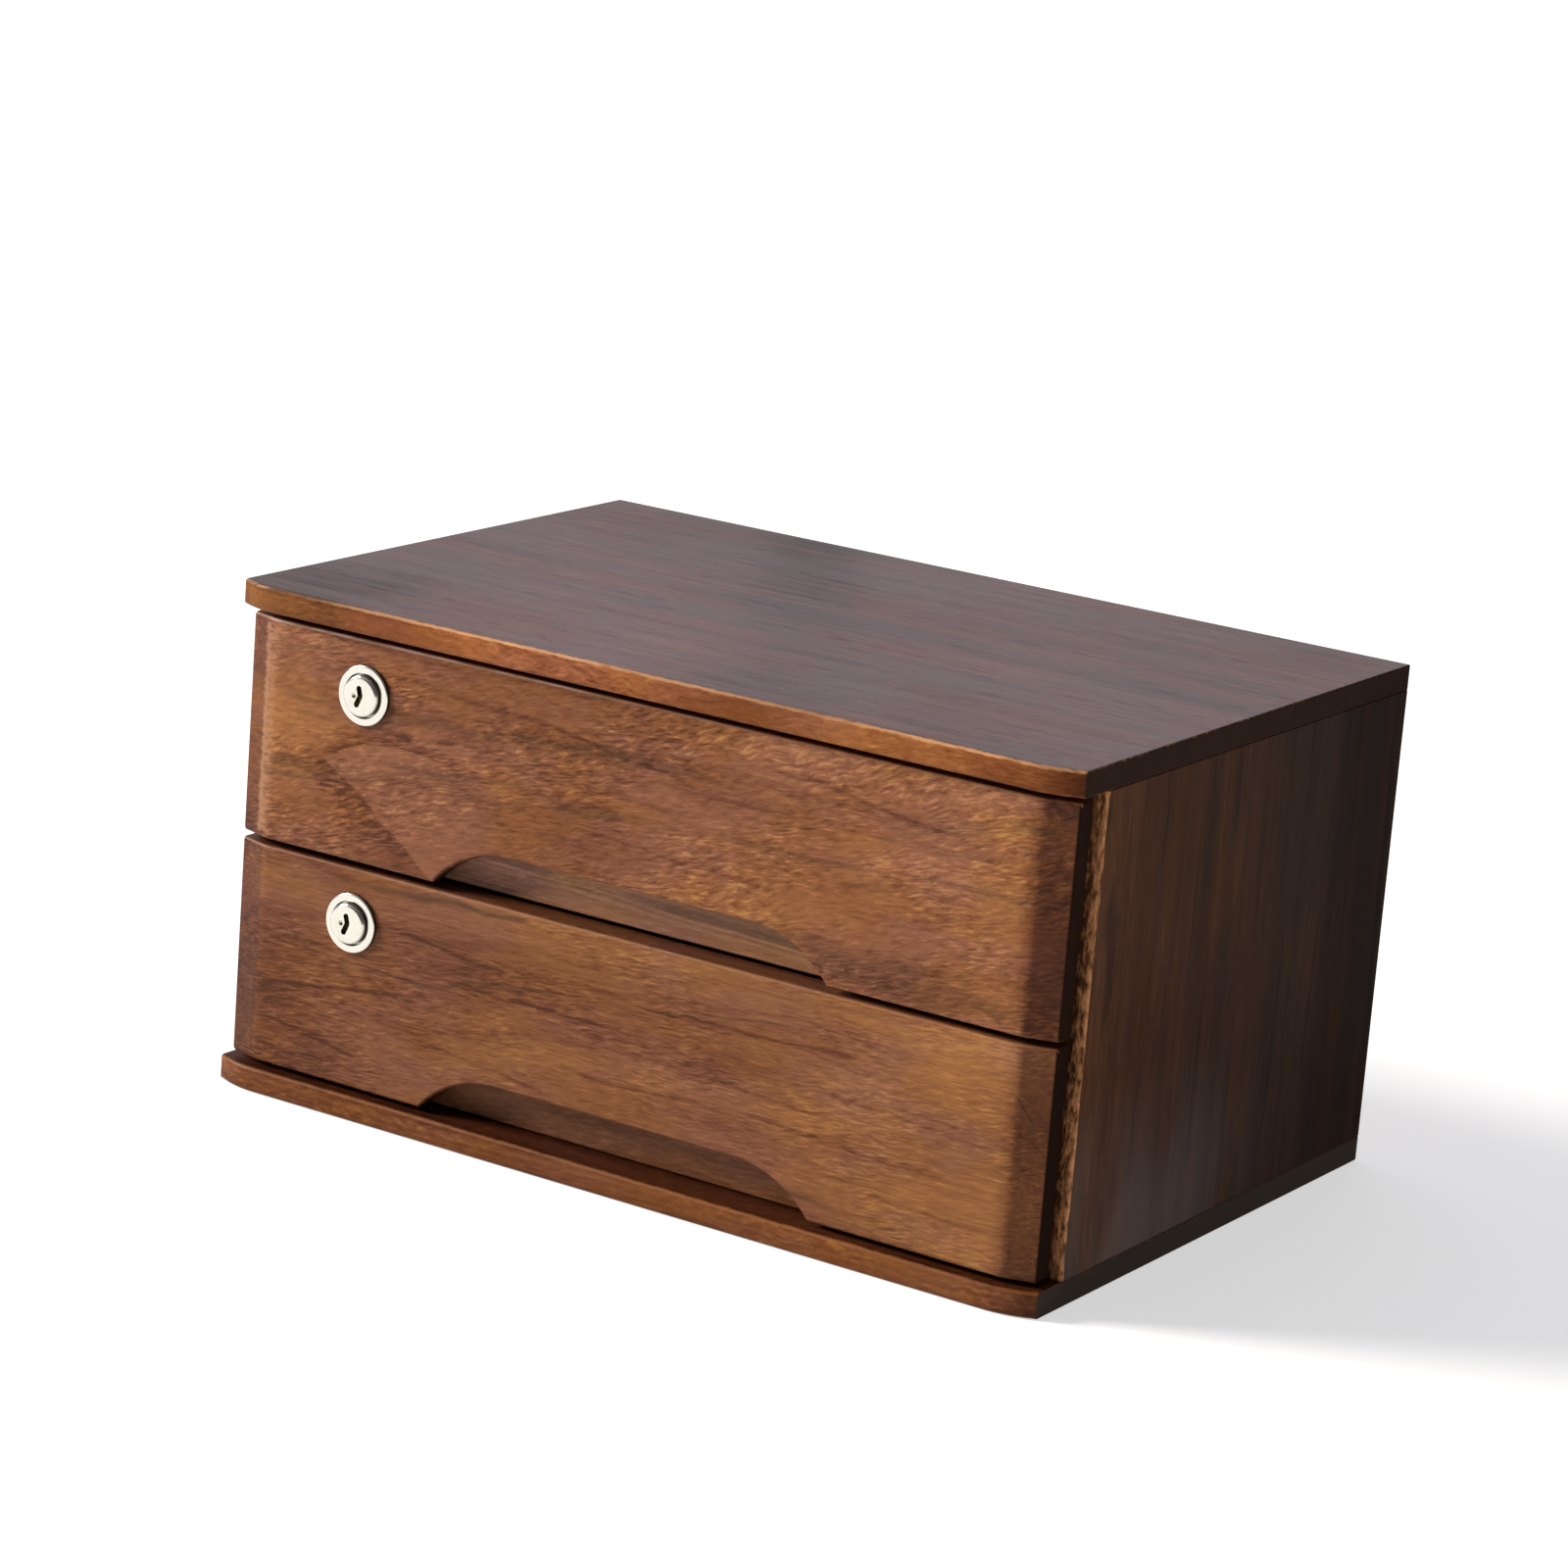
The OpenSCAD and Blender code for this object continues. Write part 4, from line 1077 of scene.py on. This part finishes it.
side_wood = wood("side_panel_wood", DARK, (1.38, 1.02, 0.64), grain="Z", shift=(55, 130, -60),
                 pith=(30, 190), tilt=0.06, waver=14, band=(24, 0.6), lines=(8.0, 0.4),
                 fleck=(0.35, 0, 16, 1.2), fibre=0.6, blotch=0.6, streaks=0.8, pores=0.3,
                 end_dark=0.4, worn=1.0, rough=(0.32, 0.42), gloss=0.01,
                 worn_tone=(168, 134, 112), low_sheen=(76, 0.10), figure=darker_back,
                 tone_and_sheen=dull_back)
inner_wood = wood("inner_wood", DARK, 1.1, shift=(90, 10, 160), pith=(200, 60), waver=9,
                  band=(12, 0.8), lines=(2.4, 0.5), worn=0.0, rough=(0.5, 0.6), gloss=0.2)
BOX_FRONT = dict(pith=(150, 20), tilt=0.03, waver=12, band=(5, 0.35), lines=(1.3, 0.5),
                 fleck=(0.8, 6, 6, 1.0), blotch=0.3, worn=0.0, rough=(0.5, 0.62))
# The box fronts seen through the scoops: the upper one's wood made paler as painted light, the
# lower one's darker as painted shade
box_wood = wood("box_wood", GREYED, 1.6, shift=(17, 230, 8), gloss=0.25, **BOX_FRONT)
lower_box_wood_painted_shade = wood("lower_box_wood_painted_shade", GREYED, (0.86, 0.70, 0.52), shift=(217, 30, 48),
                      gloss=0.2, **BOX_FRONT)
box_side_wood = wood("box_side_wood", GREYED, 1.2, grain="Y", shift=(217, 30, 81),
                     pith=(150, 40), tilt=0.03, waver=10, band=(10, 0.9),
                     lines=(2.2, 0.5), worn=0.0, rough=(0.5, 0.62), gloss=0.25)
plywood = wood("plywood", GREYED, 1.1, shift=(400, 11, 300), pith=(30, 400), waver=30,
               band=(22, 0.9), lines=(4, 0.4), streaks=0.3, worn=0.0, rough=(0.55, 0.68),
               gloss=0.25)
dowel_wood = wood("dowel_wood", PALE, 0.9, worn=0.0, streaks=0.0, rough=(0.6, 0.7),
                  gloss=0.3)
nickel = metal("nickel", (224, 221, 210), rough=(0.14, 0.26), tarnish=0.2)
lock_steel = metal("lock_steel", (186, 184, 178), rough=(0.28, 0.42), tarnish=0.4)
steel = metal("steel", (170, 168, 164), rough=(0.3, 0.45), tarnish=0.5)
brass = metal("brass", (214, 178, 104), rough=(0.22, 0.36), tarnish=0.4)
felt = felt_cloth("felt")

board("bottom_board", bottom_wood)
board("top_board", top_wood)
side_panel("left", side_wood)
side_panel("right", side_wood)
# For each drawer: its level, its front's wood, how worn its left bend is (also a painted
# highlight there), how much painted highlight its upper arris gets, and its box front's wood,
# painted lighter above and darker below
for level, front_wood, bend_wear_and_highlight, painted_highlight, box_front_wood in (
        ("upper", upper_front_wood, 0.95, 0.7, box_wood),
        ("lower", lower_front_wood, 0.45, 0.0, lower_box_wood_painted_shade)):
    drawer_front(level, front_wood, bend_wear_and_highlight, painted_highlight)
    lock_bezel(level, nickel)
    lock_plug(level, nickel)
    for part, material, ease in (
            ("box_front", box_front_wood, 0.4), ("left_side", box_side_wood, 0.6),
            ("right_side", box_side_wood, 0.6), ("box_back", box_wood, 0.5),
            ("drawer_bottom", plywood, 0), ("box_nails", steel, 0),
            ("front_screws", steel, 0), ("lock_case", lock_steel, 0.12),
            ("lock_cover", lock_steel, 0.12), ("lock_screws", steel, 0),
            ("lock_wafers", brass, 0), ("lock_bolt", lock_steel, 0.15),
            ("strike_plate", steel, 0.12)):
        dress(level + "_" + part, material, ease)
dress("strike_screws", steel)
dress("middle_shelf", inner_wood, 0.5)
dress("top_rail", inner_wood, 0.5)
dress("back_panel", plywood)
dress("carcass_dowels", dowel_wood)
dress("back_panel_nails", steel)
dress("back_bumpers", felt)
